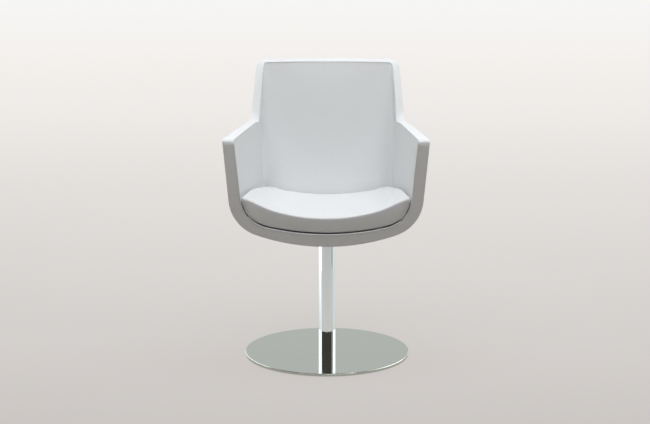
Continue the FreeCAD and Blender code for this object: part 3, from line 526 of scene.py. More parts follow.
def top_stations(rim, end):
    """Lengths along the rim from the nose to the back, dense on the nose and on the wings."""
    arm_end = float(np.interp(ARM_END, rim.line[:, 0], rim.length))
    wing_steps = DEEP - NOSE_STEPS - ARM_STEPS
    return np.concatenate([spread(0, NOSE_LENGTH, NOSE_STEPS, 1, 1)[:-1],
                           spread(NOSE_LENGTH, arm_end, ARM_STEPS, 4, 11)[:-1],
                           spread(arm_end, end, wing_steps, 6.5, 5.5)])


def front_stations(trough, rim):
    """Shares of the U down the front edge, with the length along the rim of each."""
    nose = [-NOSE_LENGTH * step / NOSE_STEPS for step in range(NOSE_STEPS + 1)]
    share_low = trough.share_at(*rim.at(nose[-1]))
    corner_steps = HIGH - NOSE_STEPS - SIDE_STEPS
    shares = np.concatenate([[trough.share_at(*rim.at(length)) for length in nose],
                             share_low + (1 - share_low) * spread(0, 1, SIDE_STEPS, 1, 1)[1:],
                             1 + 0.5 * np.linspace(0, 1, corner_steps + 1)[1:]])
    lengths = []
    for share in shares:
        y = front_y(200)
        for _ in range(12):
            z = trough.at(share, y)[1]
            y = rim.front(z)
        lengths.append(rim.length_below(z))
    lengths[0] = 0.0
    return shares, lengths


print("faces of a wall", 2 * DEEP * HIGH + DEEP * WIDE + HIGH * WIDE)

# %% Rows of a side that follow the rim


def station(index, top, down):
    """Length along the rim at a number of steps behind the nose, or below it if negative."""
    if index >= 0:
        return float(np.interp(index, np.arange(DEEP + 1), top))
    return float(np.interp(-index, np.arange(HIGH + 1), down))


def rows_on_top(side, trough, rim, rows, ends, top, down):
    """Sets the rows of a side along its arm and its wing, as depth and share."""
    for j in range(len(rows)):
        for i in range(j, DEEP + 1):
            fade = max(0.0, 1 - (i - j) / SHIFT_FADE)
            length = station(i - j * fade, top, down)
            length += (ends[j] - ends[0]) * float(ease(i, 44, DEEP))
            y, z = rim.at(length, rows[j])
            side[i, j] = y, trough.share_at(y, z)


def rows_down_front(side, trough, rim, rows, shares, top, down):
    """Sets the rows of a side down its front, and round the corner into the bottom."""
    for i in range(len(rows)):
        for j in range(i + 1, HIGH + 1):
            if shares[j] < 1:
                fade = max(0.0, 1 - (j - i) / SHIFT_FADE)
                y, z = rim.at(station(-(j - i * fade), top, down), rows[i])
                side[i, j] = y, trough.share_at(y, z)
            else:
                y = front_y(60, rows[i])
                for _ in range(12):
                    y = front_y(trough.at(shares[j], y)[1], rows[i])
                side[i, j] = y, shares[j]


# %% Fill of a net between its edges
WHOLE_SHARES = np.array([0.0, 1.0, 2.0, 3.0])
REACHES = np.array([0.0, 430.0, 575.0, 900.0])      # length of the U up to each whole share, roughly
CORNER_MIDDLE = 1.5


def to_reach(share):
    return np.interp(share, WHOLE_SHARES, REACHES)


def to_share(reach):
    return np.interp(reach, REACHES, WHOLE_SHARES)


def depth_at(trough, share, fraction, edge):
    """Depth of a fraction of the way from the front rows to the back, at a share."""
    y = 0.0
    for _ in range(14):
        z = trough.at(share, y)[1]
        start, end = front_y(z, edge), trough.back_y(z)
        y = start + fraction * (end - start)
    return y


def fill_patch(upper, lower, near, far, u, v):
    """Grid between its four edges, with u along the upper and lower ones and v along the others."""
    u, v = u[:, None, None], v[None, :, None]
    return ((1 - v) * upper[:, None] + v * lower[:, None] + (1 - u) * near[None] + u * far[None]
            - (1 - u) * (1 - v) * upper[0] - u * (1 - v) * upper[-1]
            - (1 - u) * v * lower[0] - u * v * lower[-1])


def fill_side(side, trough, edge):
    """Fills a side past its rows, and returns how far back each column of the fill stands."""
    upper, near = side[LAST_ROW:, LAST_ROW].copy(), side[LAST_ROW, LAST_ROW:].copy()
    fractions = (upper[:, 0] - upper[0, 0]) / (upper[-1, 0] - upper[0, 0])
    reach = to_reach(near[:, 1])
    climb = (reach - reach[0]) / (reach[-1] - reach[0])
    shares = to_share(to_reach(upper[-1, 1]) * (1 - climb) + to_reach(CORNER_MIDDLE) * climb)
    far = np.array([[depth_at(trough, share, 1.0, edge), share] for share in shares])
    lower = np.array([[depth_at(trough, CORNER_MIDDLE, fraction, edge), CORNER_MIDDLE]
                      for fraction in fractions])
    edges = [np.stack([line[:, 0], to_reach(line[:, 1])], -1) for line in (upper, lower, near, far)]
    patch = fill_patch(*edges, fractions, climb)
    side[LAST_ROW:, LAST_ROW:, 0] = patch[..., 0]
    side[LAST_ROW:, LAST_ROW:, 1] = to_share(patch[..., 1])
    return fractions


# %% Bottom and back of a net


def make_bottom(trough, rows, fractions):
    """Bottom of a wall as depth and share, from the middle of one corner to the other."""
    shares = 3.0 - (3.0 - CORNER_MIDDLE) * np.abs(np.linspace(-1, 1, WIDE + 1))
    bottom = np.zeros((DEEP + 1, WIDE + 1, 2))
    for k, share in enumerate(shares):
        for i in range(DEEP + 1):
            fraction = 0.0 if i < LAST_ROW else fractions[i - LAST_ROW]
            bottom[i, k] = depth_at(trough, share, fraction, rows[min(i, LAST_ROW)]), share
    return bottom


def make_back(trough, side, bottom):
    """Back of a wall as x and z, between the ends of both sides and of the bottom."""
    right = trough.at(side[DEEP, :, 1], side[DEEP, :, 0])
    lower = trough.at(bottom[DEEP, :, 1], bottom[DEEP, :, 0])
    lower[:WIDE // 2, 0] *= -1
    across = (lower[:, 0] - lower[0, 0]) / (lower[-1, 0] - lower[0, 0])
    back = np.zeros((HIGH + 1, WIDE + 1, 2))
    for j in range(LAST_ROW + 1):
        x = right[j, 0] * (2 * across - 1)
        back[j, :, 0] = x
        back[j, :, 1] = right[j, 1] + crown_height(x) - crown_height(right[j, 0])
    right = right[LAST_ROW:]
    left = right * np.array([-1, 1])
    lengths = np.concatenate([[0], np.cumsum(np.linalg.norm(np.diff(right, axis=0), axis=1))])
    patch = fill_patch(back[LAST_ROW].copy(), lower, left, right, across, lengths / lengths[-1])
    back[LAST_ROW:] = np.swapaxes(patch, 0, 1)
    return back


def wall_grid(kind):
    """Side (deep, high), bottom (deep, wide) and back (high, wide) of a wall."""
    trough, rows = troughs[kind], ROWS[kind]
    rim = Rim(float(crown_height(205.0)))
    ends = [length_at_back(trough, rim, inset) for inset in rows]
    top = top_stations(rim, ends[0])
    shares, down = front_stations(trough, rim)
    side = np.zeros((DEEP + 1, HIGH + 1, 2))
    rows_on_top(side, trough, rim, rows, ends, top, down)
    rows_down_front(side, trough, rim, rows, shares, top, down)
    fractions = fill_side(side, trough, rows[LAST_ROW])
    bottom = make_bottom(trough, rows, fractions)
    side[:, HIGH] = bottom[:, WIDE]
    return side, bottom, make_back(trough, side, bottom)


# %% Round the edge between the sides and the back
BACK_NORMAL = np.array([0.0, -cos(BACK_RECLINE), sin(BACK_RECLINE)])


def rounded(point, wall_normal, gap, radius, flat_normal):
    """Moves points of one wall near another onto a rounding of the edge between both."""
    c = np.sum(wall_normal * flat_normal, -1)
    a = (radius - c * (radius - gap)) / (1 - c * c)
    b = ((radius - gap) - c * radius) / (1 - c * c)
    hub = point + a[..., None] * wall_normal + b[..., None] * flat_normal
    away = point - hub
    moved = hub + radius * away / np.linalg.norm(away, axis=-1)[..., None]
    return np.where((b < 0)[..., None], point, moved)


def on_trough(trough, grid, radius):
    """Places of a grid of depths and shares, rounded towards the back."""
    xz = trough.at(grid[..., 1], grid[..., 0])
    point = np.stack([xz[..., 0], grid[..., 0], xz[..., 1]], -1)
    normal = trough.normal(grid[..., 1], grid[..., 0])
    gap = (trough.back_y(point[..., 2]) - point[..., 1]) * cos(BACK_RECLINE)
    return rounded(point, normal, gap, radius, np.broadcast_to(BACK_NORMAL, point.shape))


def on_back(trough, grid, top_share, radius):
    """Places of a grid of x and z on the back, rounded towards the sides and the bottom."""
    shares = np.linspace(top_share - 0.05, 3, 700)
    depths = np.full_like(shares, 200.0)
    for _ in range(12):
        depths = trough.back_y(trough.at(shares, depths)[:, 1])
    edge, edge_normals = trough.at(shares, depths), trough.normal(shares, depths)
    flat = np.stack([np.abs(grid[..., 0]), grid[..., 1]], -1)
    away = np.linalg.norm(flat[:, :, None] - edge[None, None], axis=-1)
    nearest = away.argmin(-1)
    normals = edge_normals[nearest].copy()
    distance = np.take_along_axis(away, nearest[..., None], -1)[..., 0]
    c = np.sum(normals * BACK_NORMAL, -1)
    point = np.stack([flat[..., 0], trough.back_y(grid[..., 1]), grid[..., 1]], -1)
    facing = np.broadcast_to(BACK_NORMAL, point.shape)
    points = rounded(point, facing, distance * np.sqrt(1 - c * c), radius, normals)
    points[..., 0] *= np.where(grid[..., 0] < 0, -1, 1)
    return points


# %% Places of both walls
PAD_RISE, PAD_HALF_WIDTH, PAD_MIDDLE, PAD_HALF_HEIGHT = 5.0, 190.0, 320.0, 168.0


def shape_inside(side, back):
    """Lowers the inner edge of the rim and pads the back panel, which stands out in its middle."""
    fade = ease(15 - np.arange(HIGH + 1), 0, 12)
    side[..., 2] -= soften(side[:, 0, 1], side[:, 0, 2])[:, None] * fade
    back[..., 2] -= soften(back[0, :, 1], back[0, :, 2]) * fade[:, None]
    across = back[..., 0] / PAD_HALF_WIDTH
    upright = (back[..., 2] - PAD_MIDDLE) / PAD_HALF_HEIGHT
    back[..., 1] -= PAD_RISE * np.clip(1 - across ** 2, 0, 1) * np.clip(1 - upright ** 2, 0, 1)


def place_wall(kind):
    """Places (x, y, z) in millimetres of the three grids of a wall, which share their edges."""
    trough, radius = troughs[kind], WALLS[kind]["round"]
    side_grid, bottom_grid, back_grid = wall_grid(kind)
    side = on_trough(trough, side_grid, radius)
    bottom = on_trough(trough, bottom_grid, radius)
    bottom[:, :WIDE // 2, 0] *= -1
    back = on_back(trough, back_grid, side_grid[DEEP, 0, 1], radius)
    # The rim itself stays on the rim's surface
    for line in (side[:, 0], back[0]):
        line[:, 2] = [Rim(float(crown_height(x))).height(y) if y > 60 else z for x, y, z in line]
    if kind == "inner":
        shape_inside(side, back)
    back[:, WIDE] = side[DEEP]
    back[:, 0] = side[DEEP] * np.array([-1, 1, 1])
    bottom[DEEP] = back[HIGH]
    return side, bottom, back


walls = {kind: place_wall(kind) for kind in WALLS}
for kind, (side, bottom, back) in walls.items():
    print(kind, "rim at nose", side[0, 0].round(1), "at back", side[DEEP, 0].round(1),
          "lowest", round(bottom[..., 2].min(), 1))

# %% [markdown]
# ## Leather tub in one closed shape
#
# Both walls are cut cubes. They are joined, their open edges are bridged across the rim, and the rim's
# two edges are bevelled: soft towards the sitter, tighter outside. Then the shape is parted along its
# seams into the border and the two panels, as the leather is cut.

# %% Helpers for selecting and for modifiers


def deselect_all():
    if bpy.context.object and bpy.context.object.mode != "OBJECT":
        bpy.ops.object.mode_set(mode="OBJECT")
    bpy.ops.object.select_all(action="DESELECT")


def select_only(piece):
    """Makes a piece the active one and the only one selected."""
    deselect_all()
    piece.select_set(True)
    bpy.context.view_layer.objects.active = piece


def apply_modifier(piece, kind, **settings):
    """Adds a modifier to a piece, sets it and applies it."""
    select_only(piece)
    bpy.ops.object.modifier_add(type=kind)
    modifier = piece.modifiers[-1]
    for name, value in settings.items():
        setattr(modifier, name, value)
    bpy.ops.object.modifier_apply(modifier=modifier.name)


def select_edges(piece, axis, least):
    """Selects the edges of a piece in edit mode that run further than a length along an axis."""
    bpy.ops.mesh.select_mode(type="EDGE")
    bpy.ops.mesh.select_all(action="DESELECT")
    bpy.ops.object.mode_set(mode="OBJECT")
    for edge in piece.data.edges:
        start, end = (piece.data.vertices[index].co for index in edge.vertices)
        edge.select = abs(start[axis] - end[axis]) > least
    bpy.ops.object.mode_set(mode="EDIT")


# %% Cut cubes


def cut_cube(name):
    """Cube without its front and lid, cut into the grid of a wall."""
    deselect_all()
    bpy.ops.mesh.primitive_cube_add(size=1)
    cube = bpy.context.object
    cube.name = name
    bpy.ops.object.mode_set(mode="EDIT")
    bpy.ops.mesh.select_all(action="DESELECT")
    bpy.ops.object.mode_set(mode="OBJECT")
    for face in cube.data.polygons:
        face.select = face.normal.y < -0.9 or face.normal.z > 0.9
    bpy.ops.object.mode_set(mode="EDIT")
    bpy.ops.mesh.delete(type="FACE")
    for axis, steps in ((1, DEEP), (2, HIGH), (0, WIDE)):
        select_edges(cube, axis, 0.9)
        bpy.ops.mesh.subdivide(number_cuts=steps - 1)
    bpy.ops.object.mode_set(mode="OBJECT")
    return cube


inner, outer = cut_cube("inner_wall"), cut_cube("outer_wall")
print("cut cubes of", len(inner.data.polygons), "and", len(outer.data.polygons), "faces")

# %% Set the vertices of the cubes, and mark how the leather is cut
cuts = [bpy.data.materials.new(name) for name in ("border_cut", "inner_cut", "outer_cut")]
BORDER_CUT, INNER_CUT, OUTER_CUT = range(3)


def on_border(steps):
    """Whether a face, by the steps of its corners, lies between the rim and the seam."""
    deep, high = (min(step[axis] for step in steps) for axis in (0, 1))
    on_bottom = all(step[1] == HIGH for step in steps)
    on_back = all(step[0] == DEEP for step in steps)
    return (deep < SEAM and not on_back) or (high < SEAM and not on_bottom)


def set_wall(cube, kind, panel):
    """Moves the vertices of a cut cube onto a wall, and marks its panel and its border."""
    side, bottom, back = walls[kind]
    mesh = cube.data
    steps = [(round((v.co.y + 0.5) * DEEP), round((0.5 - v.co.z) * HIGH), round((v.co.x + 0.5) * WIDE))
             for v in mesh.vertices]
    for cut in cuts:
        mesh.materials.append(cut)
    for face in mesh.polygons:
        # Inside, the seam lies in the soft edge of the rim itself, so that wall is all panel
        border = kind == "outer" and on_border([steps[index] for index in face.vertices])
        face.material_index = BORDER_CUT if border else panel
    for vertex, (i, j, k) in zip(mesh.vertices, steps):
        if k in (0, WIDE):
            x, y, z = side[i, j]
            x = x if k else -x
        elif i == DEEP:
            x, y, z = back[j, k]
        else:
            x, y, z = bottom[i, k]
        vertex.co = (x / 1000, y / 1000, (z + PLATE_TOP) / 1000)


set_wall(inner, "inner", INNER_CUT)
set_wall(outer, "outer", OUTER_CUT)
print("inner wall", [round(value, 3) for value in inner.dimensions])

# %% Join the walls and bridge the rim
select_only(outer)
inner.select_set(True)
wall_vertices = len(inner.data.vertices) + len(outer.data.vertices)
bpy.ops.object.join()
tub = bpy.context.object
tub.name = "tub_leather"
bpy.ops.object.mode_set(mode="EDIT")
bpy.ops.mesh.select_mode(type="EDGE")
bpy.ops.mesh.select_all(action="DESELECT")
bpy.ops.mesh.select_non_manifold(extend=False)
bpy.ops.mesh.bridge_edge_loops(number_cuts=1, interpolation="LINEAR")
bpy.ops.object.mode_set(mode="OBJECT")
mesh = tub.data
RIM_SHARE = 0.35
for vertex in list(mesh.vertices)[wall_vertices:]:
    x, y, z = (value * 1000 for value in vertex.co)
    top = Rim(float(crown_height(x)))
    if z - PLATE_TOP > 300 and y > float(top.line[top.nose_middle, 0]):
        height = float(top.height(y))
        vertex.co.z = (height - RIM_SHARE * float(soften(y, height)) + PLATE_TOP) / 1000
print("rim vertices", len(mesh.vertices) - wall_vertices)

# %% Round the edges of the rim
# Radius in metres at the front, and how much it has grown at the arms
ROUNDING = {"outer": (0.0042, -0.0004), "inner": (0.0065, 0.0040)}
WIDEST = 0.0105


def rim_tree(kind):
    """Search tree of every place on the edge of the rim of a wall, in metres."""
    side, bottom, back = walls[kind]
    mirror = np.array([-1, 1, 1])
    line = np.concatenate([side[:, 0], side[:, 0] * mirror, side[0], side[0] * mirror,
                           bottom[0], back[0]])
    tree = KDTree(len(line))
    for index, point in enumerate((line + np.array([0, 0, PLATE_TOP])) / 1000):
        tree.insert(point, index)
    tree.balance()
    return tree


weights = mesh.attributes.new("bevel_weight_edge", "FLOAT", "EDGE")
for kind, (radius, growth) in ROUNDING.items():
    tree = rim_tree(kind)
    on_rim = [tree.find(vertex.co)[2] < 2e-5 for vertex in mesh.vertices]
    edges = [edge for edge in mesh.edges if all(on_rim[index] for index in edge.vertices)]
    for edge in edges:
        start, end = (mesh.vertices[index].co for index in edge.vertices)
        towards_arms = min(max(((start.y + end.y) / 2 + 0.262) / 0.14, 0), 1)
        weights.data[edge.index].value = (radius + growth * towards_arms) / WIDEST
    print(kind, "rim edges to round", len(edges))
apply_modifier(tub, "BEVEL", width=WIDEST, segments=4, limit_method="WEIGHT",
               use_clamp_overlap=True, loop_slide=True)
leftover = tub.data.attributes.get("bevel_weight_edge")
if leftover:
    tub.data.attributes.remove(leftover)

# %% Turn the faces outwards
select_only(tub)
bpy.ops.object.mode_set(mode="EDIT")
bpy.ops.mesh.select_all(action="SELECT")
bpy.ops.mesh.normals_make_consistent(inside=False)
bpy.ops.object.mode_set(mode="OBJECT")
bpy.ops.object.shade_smooth()
print("tub", len(tub.data.vertices), "vertices")

# %% [markdown]
# ## Seams
#
# Where two pieces of leather are sewn, both edges turn in and pull down into the foam. The vertices on
# the seam are drawn in by a millimetre or so, between two rows that stay up. One more seam crosses the
# nose of each arm, where the front of the border meets its top. The shape is then parted along the
# seams, and each piece gets the thickness of leather inwards.

# %% Draw the seams in
SEAM_DEPTH, INNER_SEAM_DEPTH, NOSE_SEAM_DEPTH = 0.0012, 0.0003, 0.0009
NOSE_SEAM_LENGTH = 7.5
mesh = tub.data
touching = {}
for face in mesh.polygons:
    for index in face.vertices:
        touching.setdefault(index, set()).add(face.material_index)
seam_vertices = [index for index, kinds in touching.items() if len(kinds) > 1]
for index in seam_vertices:
    vertex = mesh.vertices[index]
    vertex.co -= vertex.normal * (INNER_SEAM_DEPTH if INNER_CUT in touching[index] else SEAM_DEPTH)
nose = Rim(BACK_RISE)
hub_y, hub_z = nose.nose_hub
top_y, top_z = nose.line[nose.nose_middle]
nose_seam = 0
for vertex in mesh.vertices:
    y, z = vertex.co.y * 1000 - hub_y, vertex.co.z * 1000 - PLATE_TOP - hub_z
    angle = atan2(z, y) - atan2(top_z - hub_z, top_y - hub_y)
    round_nose = abs(vertex.co.x) > 0.24 and 6 < sqrt(y * y + z * z) < 16
    if round_nose and abs(angle - NOSE_SEAM_LENGTH / NOSE) < 0.04:
        vertex.co -= vertex.normal * NOSE_SEAM_DEPTH
        nose_seam += 1
print("vertices on the seams", len(seam_vertices), "and across the nose", nose_seam)

# %% Part the leather and give it its thickness
LEATHER_THICKNESS = 0.0014
select_only(tub)
bpy.ops.object.mode_set(mode="EDIT")
bpy.ops.mesh.select_all(action="SELECT")
bpy.ops.mesh.separate(type="MATERIAL")
bpy.ops.object.mode_set(mode="OBJECT")
names = {"border_cut": "border_band", "inner_cut": "inner_panel", "outer_cut": "outer_panel"}
leather_pieces = {}
for piece in list(bpy.context.selected_objects):
    cut = piece.data.materials[piece.data.polygons[0].material_index].name
    piece.name = names[cut]
    piece.data.materials.clear()
    leather_pieces[piece.name] = piece
for piece in leather_pieces.values():
    apply_modifier(piece, "SOLIDIFY", thickness=LEATHER_THICKNESS, offset=-1, use_even_offset=False)
    apply_modifier(piece, "SUBSURF", levels=1, render_levels=1)
    piece.data.shade_smooth()
    print(piece.name, len(piece.data.polygons), "faces")

# %% [markdown]
# ## Window for the mounting block
#
# The block that carries the tub passes through the leather below. The leather is cut away round it, so
# a cube with rounded corners, two millimetres larger than the block on each side, is taken off.

# %% Window under the tub
WINDOW_GAP, WINDOW_HEIGHT, WINDOW_CORNER = 0.002, 0.030, 0.022
block_low, block_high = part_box("mount_block")
window = [round(block_high[axis] - block_low[axis] + 2 * WINDOW_GAP, 6) for axis in (0, 1)]
deselect_all()
bpy.ops.mesh.primitive_cube_add(size=1, location=(0, 0, PLATE_TOP / 1000),
                                scale=(*window, WINDOW_HEIGHT))
cutter = bpy.context.object
bpy.ops.object.transform_apply(location=True, rotation=True, scale=True)
bpy.ops.object.mode_set(mode="EDIT")
select_edges(cutter, 2, 0.02)
bpy.ops.mesh.bevel(offset=WINDOW_CORNER, segments=6, affect="EDGES")
bpy.ops.object.mode_set(mode="OBJECT")
apply_modifier(leather_pieces["outer_panel"], "BOOLEAN", operation="DIFFERENCE", object=cutter,
               solver="EXACT")
bpy.data.objects.remove(cutter)
print("window", window)

# %% [markdown]
# ## Two-tone marks
#
# Leather, metal, wood and tape all have one thing in common: two near colours that mingle in fine
# marks, stretched along the way the piece was made. A node group holds that effect once, and every
# material places it with its own size, stretch and colours. It also gives out how strong the marks
# are, for gloss and relief.

# %% Node group for the marks
MARKS_ROUGHNESS = 0.6


def build_marks():
    """Node group: a noise on given places, as an amount and as a mix of two colours."""
    group = bpy.data.node_groups.new("two_tone_marks", "ShaderNodeTree")
    for name, kind in (("Place", "Vector"), ("Stretch", "Vector"), ("Scale", "Float"),
                       ("Detail", "Float"), ("First", "Color"), ("Second", "Color")):
        group.interface.new_socket(name=name, in_out="INPUT", socket_type="NodeSocket" + kind)
    group.interface.new_socket(name="Colour", in_out="OUTPUT", socket_type="NodeSocketColor")
    group.interface.new_socket(name="Amount", in_out="OUTPUT", socket_type="NodeSocketFloat")
    nodes, links = group.nodes, group.links
    given, made = nodes.new("NodeGroupInput"), nodes.new("NodeGroupOutput")
    mapping = add_node(nodes, "Mapping")
    links.new(given.outputs["Place"], mapping.inputs["Vector"])
    links.new(given.outputs["Stretch"], mapping.inputs["Scale"])
    noise = add_node(nodes, "TexNoise", Roughness=MARKS_ROUGHNESS)
    links.new(mapping.outputs[0], noise.inputs["Vector"])
    links.new(given.outputs["Scale"], noise.inputs["Scale"])
    links.new(given.outputs["Detail"], noise.inputs["Detail"])
    tone = add_mix(nodes)
    links.new(noise.outputs[0], tone.inputs[0])
    links.new(given.outputs["First"], tone.inputs[MIX_FIRST])
    links.new(given.outputs["Second"], tone.inputs[MIX_SECOND])
    links.new(tone.outputs[MIX_RESULT], made.inputs["Colour"])
    links.new(noise.outputs[0], made.inputs["Amount"])
    return group


marks_group = build_marks()


def add_marks(nodes, links, place, stretch, scale, detail, first, second):
    """Places the marks in a material, on its Object coordinates."""
    marks = add_node(nodes, "Group")
    marks.node_tree = marks_group
    links.new(place.outputs["Object"], marks.inputs["Place"])
    for name, value in (("Stretch", stretch), ("Scale", scale), ("Detail", detail),
                        ("First", first), ("Second", second)):
        marks.inputs[name].default_value = value
    return marks


print("group", marks_group.name, "with", len(marks_group.nodes), "nodes")

# %% [markdown]
# ## Leather
#
# Smooth white leather with a fine grain: small rounded cells about a millimetre across, split by
# shallow creases, a faint unevenness in colour and a soft sheen. The creases are also darkened in the
# colour, as painted shade.

# %% Leather material


def make_leather(name, colour, second):
    """White upholstery leather with grain, painted shade in its creases, slight colour variation and a
    soft sheen.
    """
    material, nodes, links, shader = new_material(name)
    place = add_node(nodes, "TexCoord")
    cells = add_node(nodes, "TexVoronoi", Scale=620.0, Randomness=1.0)
    cells.feature = "DISTANCE_TO_EDGE"
    crease = add_node(nodes, "MapRange", From_Min=0.0, From_Max=0.16)
    pores = add_node(nodes, "TexNoise", Scale=1500.0, Detail=3.0)
    folds = add_node(nodes, "TexNoise", Scale=26.0, Detail=4.0, Roughness=0.55)
    for pattern in (cells, pores, folds):
        links.new(place.outputs["Object"], pattern.inputs["Vector"])
    links.new(cells.outputs["Distance"], crease.inputs["Value"])
    grain = add_math(nodes, "MULTIPLY_ADD", second=0.5)
    links.new(pores.outputs[0], grain.inputs[0])
    links.new(crease.outputs[0], grain.inputs[2])
    grain_bump = add_node(nodes, "Bump", Strength=0.16, Distance=0.00035)
    links.new(grain.outputs[0], grain_bump.inputs["Height"])
    fold_bump = add_node(nodes, "Bump", Strength=0.12, Distance=0.004)
    links.new(folds.outputs[0], fold_bump.inputs["Height"])
    links.new(grain_bump.outputs[0], fold_bump.inputs["Normal"])
    links.new(fold_bump.outputs[0], shader.inputs["Normal"])
    patches = add_marks(nodes, links, place, (1, 1, 1), 7.0, 5.0, colour, second)
    # Painted shade: the creases between the grain's cells are darkened by a tenth in the colour
    crease_shade = add_mix(nodes, blend="MULTIPLY")
    crease_shade.inputs[0].default_value = 0.10
    links.new(patches.outputs["Colour"], crease_shade.inputs[MIX_FIRST])
    links.new(crease.outputs[0], crease_shade.inputs[MIX_SECOND])
    links.new(crease_shade.outputs[MIX_RESULT], shader.inputs["Base Color"])
    sheen = add_node(nodes, "MapRange", To_Min=0.40, To_Max=0.52)
    links.new(pores.outputs[0], sheen.inputs["Value"])
    links.new(sheen.outputs[0], shader.inputs["Roughness"])
    shader.inputs["Specular IOR Level"].default_value = 0.42
    return material


leather = make_leather("white_leather", (0.86, 0.865, 0.87, 1), (0.83, 0.83, 0.835, 1))
print("leather", leather.name)

# %% Leather on the tub
for piece in leather_pieces.values():
    piece.data.materials.append(leather)
    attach(piece, "seat")
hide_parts("border_cover", "shell_foam")
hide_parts("inner_cover")
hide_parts("outer_cover")
print("leather on", sorted(leather_pieces))

# %% [markdown]
# ## Seat cushion
#
# The cushion is a dished block of foam in a leather cover. Its form is taken from the CAD solid, fitted
# to the leather walls so that its sides fill the tub, made slightly smaller, and blown up from inside
# as a cloth with a little pressure, so that the leather swells between its edges as it does over real
# foam. The underside stays on the deck.

# %% Cushion from its solid


def copy_of(node, name):
    """Copy of a CAD node's mesh as a piece of its own, with its doubles merged."""
    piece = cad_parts[node].copy()
    piece.data = piece.data.copy()
    piece.parent = None
    piece.name = name
    for key in list(piece.keys()):
        if key.startswith("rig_"):
            del piece[key]
    bpy.context.scene.collection.objects.link(piece)
    piece.data.materials.clear()
    select_only(piece)
    bpy.ops.object.mode_set(mode="EDIT")
    bpy.ops.mesh.select_all(action="SELECT")
    bpy.ops.mesh.remove_doubles(threshold=0.00002)
    bpy.ops.object.mode_set(mode="OBJECT")
    return piece


def read_places(piece):
    places = np.zeros(len(piece.data.vertices) * 3)
    piece.data.vertices.foreach_get("co", places)
    return places.reshape(-1, 3)


def write_places(piece, places):
    piece.data.vertices.foreach_set("co", places.ravel())
    piece.data.update()


def read_normals(piece):
    normals = np.zeros(len(piece.data.vertices) * 3, np.float32)
    piece.data.vertex_normals.foreach_get("vector", normals)
    return normals.reshape(-1, 3).astype(float)


cushion = copy_of("cushion_foam", "seat_cushion")
cushion.data.remesh_voxel_size = 0.0045
bpy.ops.object.voxel_remesh()
apply_modifier(cushion, "SMOOTH", factor=0.5, iterations=1)
print("cushion", len(cushion.data.vertices), "vertices")

# %% Half widths and decks that the cushion goes between
# The deck that the solid cushion was made for, before the leather's fuller corners
solid_wall = Trough((261.8, 47.0, 494.0, 74.0), (183.0, 39.0, 864.0, 60.0), WALLS["inner"]["back"])
leather_wall = troughs["inner"]
SIDE_LOW = 60.0
SOLID_GAP, LEATHER_GAP, TIP_REACH = 2.0, 1.5, 4.0


def on_section(trough, y, axis, value, first, last):
    """Other coordinate of the wall's section where x (axis 0) or z (axis 1) has a value."""
    shares = np.linspace(first, last, 160)
    depth = ((y - FORM_FRONT) / FORM_DEPTH)[:, None]
    front, rear = trough.front(shares), trough.rear(shares)
    known = front[:, axis] * (1 - depth) + rear[:, axis] * depth
    other = front[:, 1 - axis] * (1 - depth) + rear[:, 1 - axis] * depth
    index = np.clip((known > value[:, None]).sum(1), 1, len(shares) - 1)
    rows = np.arange(len(y))
    high, low = known[rows, index - 1], known[rows, index]
    share = np.clip((high - value) / (high - low), 0, 1)
    return other[rows, index - 1] * (1 - share) + other[rows, index] * share


def half_width(trough, y, z):
    return on_section(trough, y, 1, np.maximum(z, SIDE_LOW), 0, 2.4)


def deck_height(trough, y, wide, side):
    return on_section(trough, y, 0, np.minimum(wide, 0.9 * side), 0.9, 3)


x, y, z = read_places(cushion).T * 1000
z = z - PLATE_TOP
wide = np.abs(x)
side = half_width(solid_wall, y, z) - SOLID_GAP
tip = ease(-y, 200, 268) * ease(wide / side, 0.8, 1.0)
wall = half_width(leather_wall, y, z) - LEATHER_GAP + TIP_REACH * tip
new_wide = wide * (1 + (wall / side - 1) * ease(wide / side, 0.3, 1.0))
deck = deck_height(solid_wall, y, wide, side)
new_deck = deck_height(leather_wall, y, new_wide, wall)
print("deck shift", (new_deck - deck).min().round(1), (new_deck - deck).max().round(1), "mm")

# %% Fit the cushion
DISH_TOP, DISH_RADIUS = 91.0, 650.0
DECK_GAP, FRONT_RISE = 0.8, 2.4
# How much higher than the solid's the sides of the cushion stand, by depth
SIDE_RISE = np.polyfit([-285, -240, -168, -90, 60, 150, 270], [3.5, 10, 16, 16.5, 11.5, 8, 2], 3)
dish = DISH_RADIUS + y * np.where(y < 0, 160, 350) / 300
top = DISH_TOP - np.clip(y, 0, None) / 30 + wide ** 2 / (2 * dish)
height = np.clip((z - deck - 3) / np.maximum(top - deck - 3, 10), 0, 1)
rise = (FRONT_RISE * ease(-y, -100, 285)
        + np.polyval(SIDE_RISE, y) * ease(wide / side, 0.62, 1))
z = z + (1 - height) * (new_deck - deck + DECK_GAP) + height * rise
write_places(cushion, np.stack([np.sign(x) * new_wide, y - TIP_REACH * tip, z + PLATE_TOP], -1) / 1000)
tips = cushion.vertex_groups.new(name="tips")
for index in np.nonzero((new_wide > 205) & (y < -250) & (z > 90))[0]:
    share = ease(new_wide[index], 205, 222) * ease(-y[index], 250, 268) * ease(z[index], 90, 115)
    tips.add([int(index)], float(share), "REPLACE")
apply_modifier(cushion, "SMOOTH", factor=0.5, iterations=9, vertex_group="tips")
print("cushion fitted", [round(value, 3) for value in cushion.dimensions])

# %% Hold the underside and the front edge
SHRINK = 0.0012
places, normals = read_places(cushion), read_normals(cushion)
below = np.clip((-normals[:, 2] - 0.1) / 0.4, 0, 1)
edge = np.clip(1.6 * np.minimum(np.clip(normals[:, 2], 0, 1), np.clip(-normals[:, 1], 0, 1)), 0, 1)
hold = np.maximum(below, edge)
start = places - normals * (SHRINK * (1 - hold))[:, None]
write_places(cushion, start)
print("cushion", len(places), "vertices, held", int((hold > 0.5).sum()))

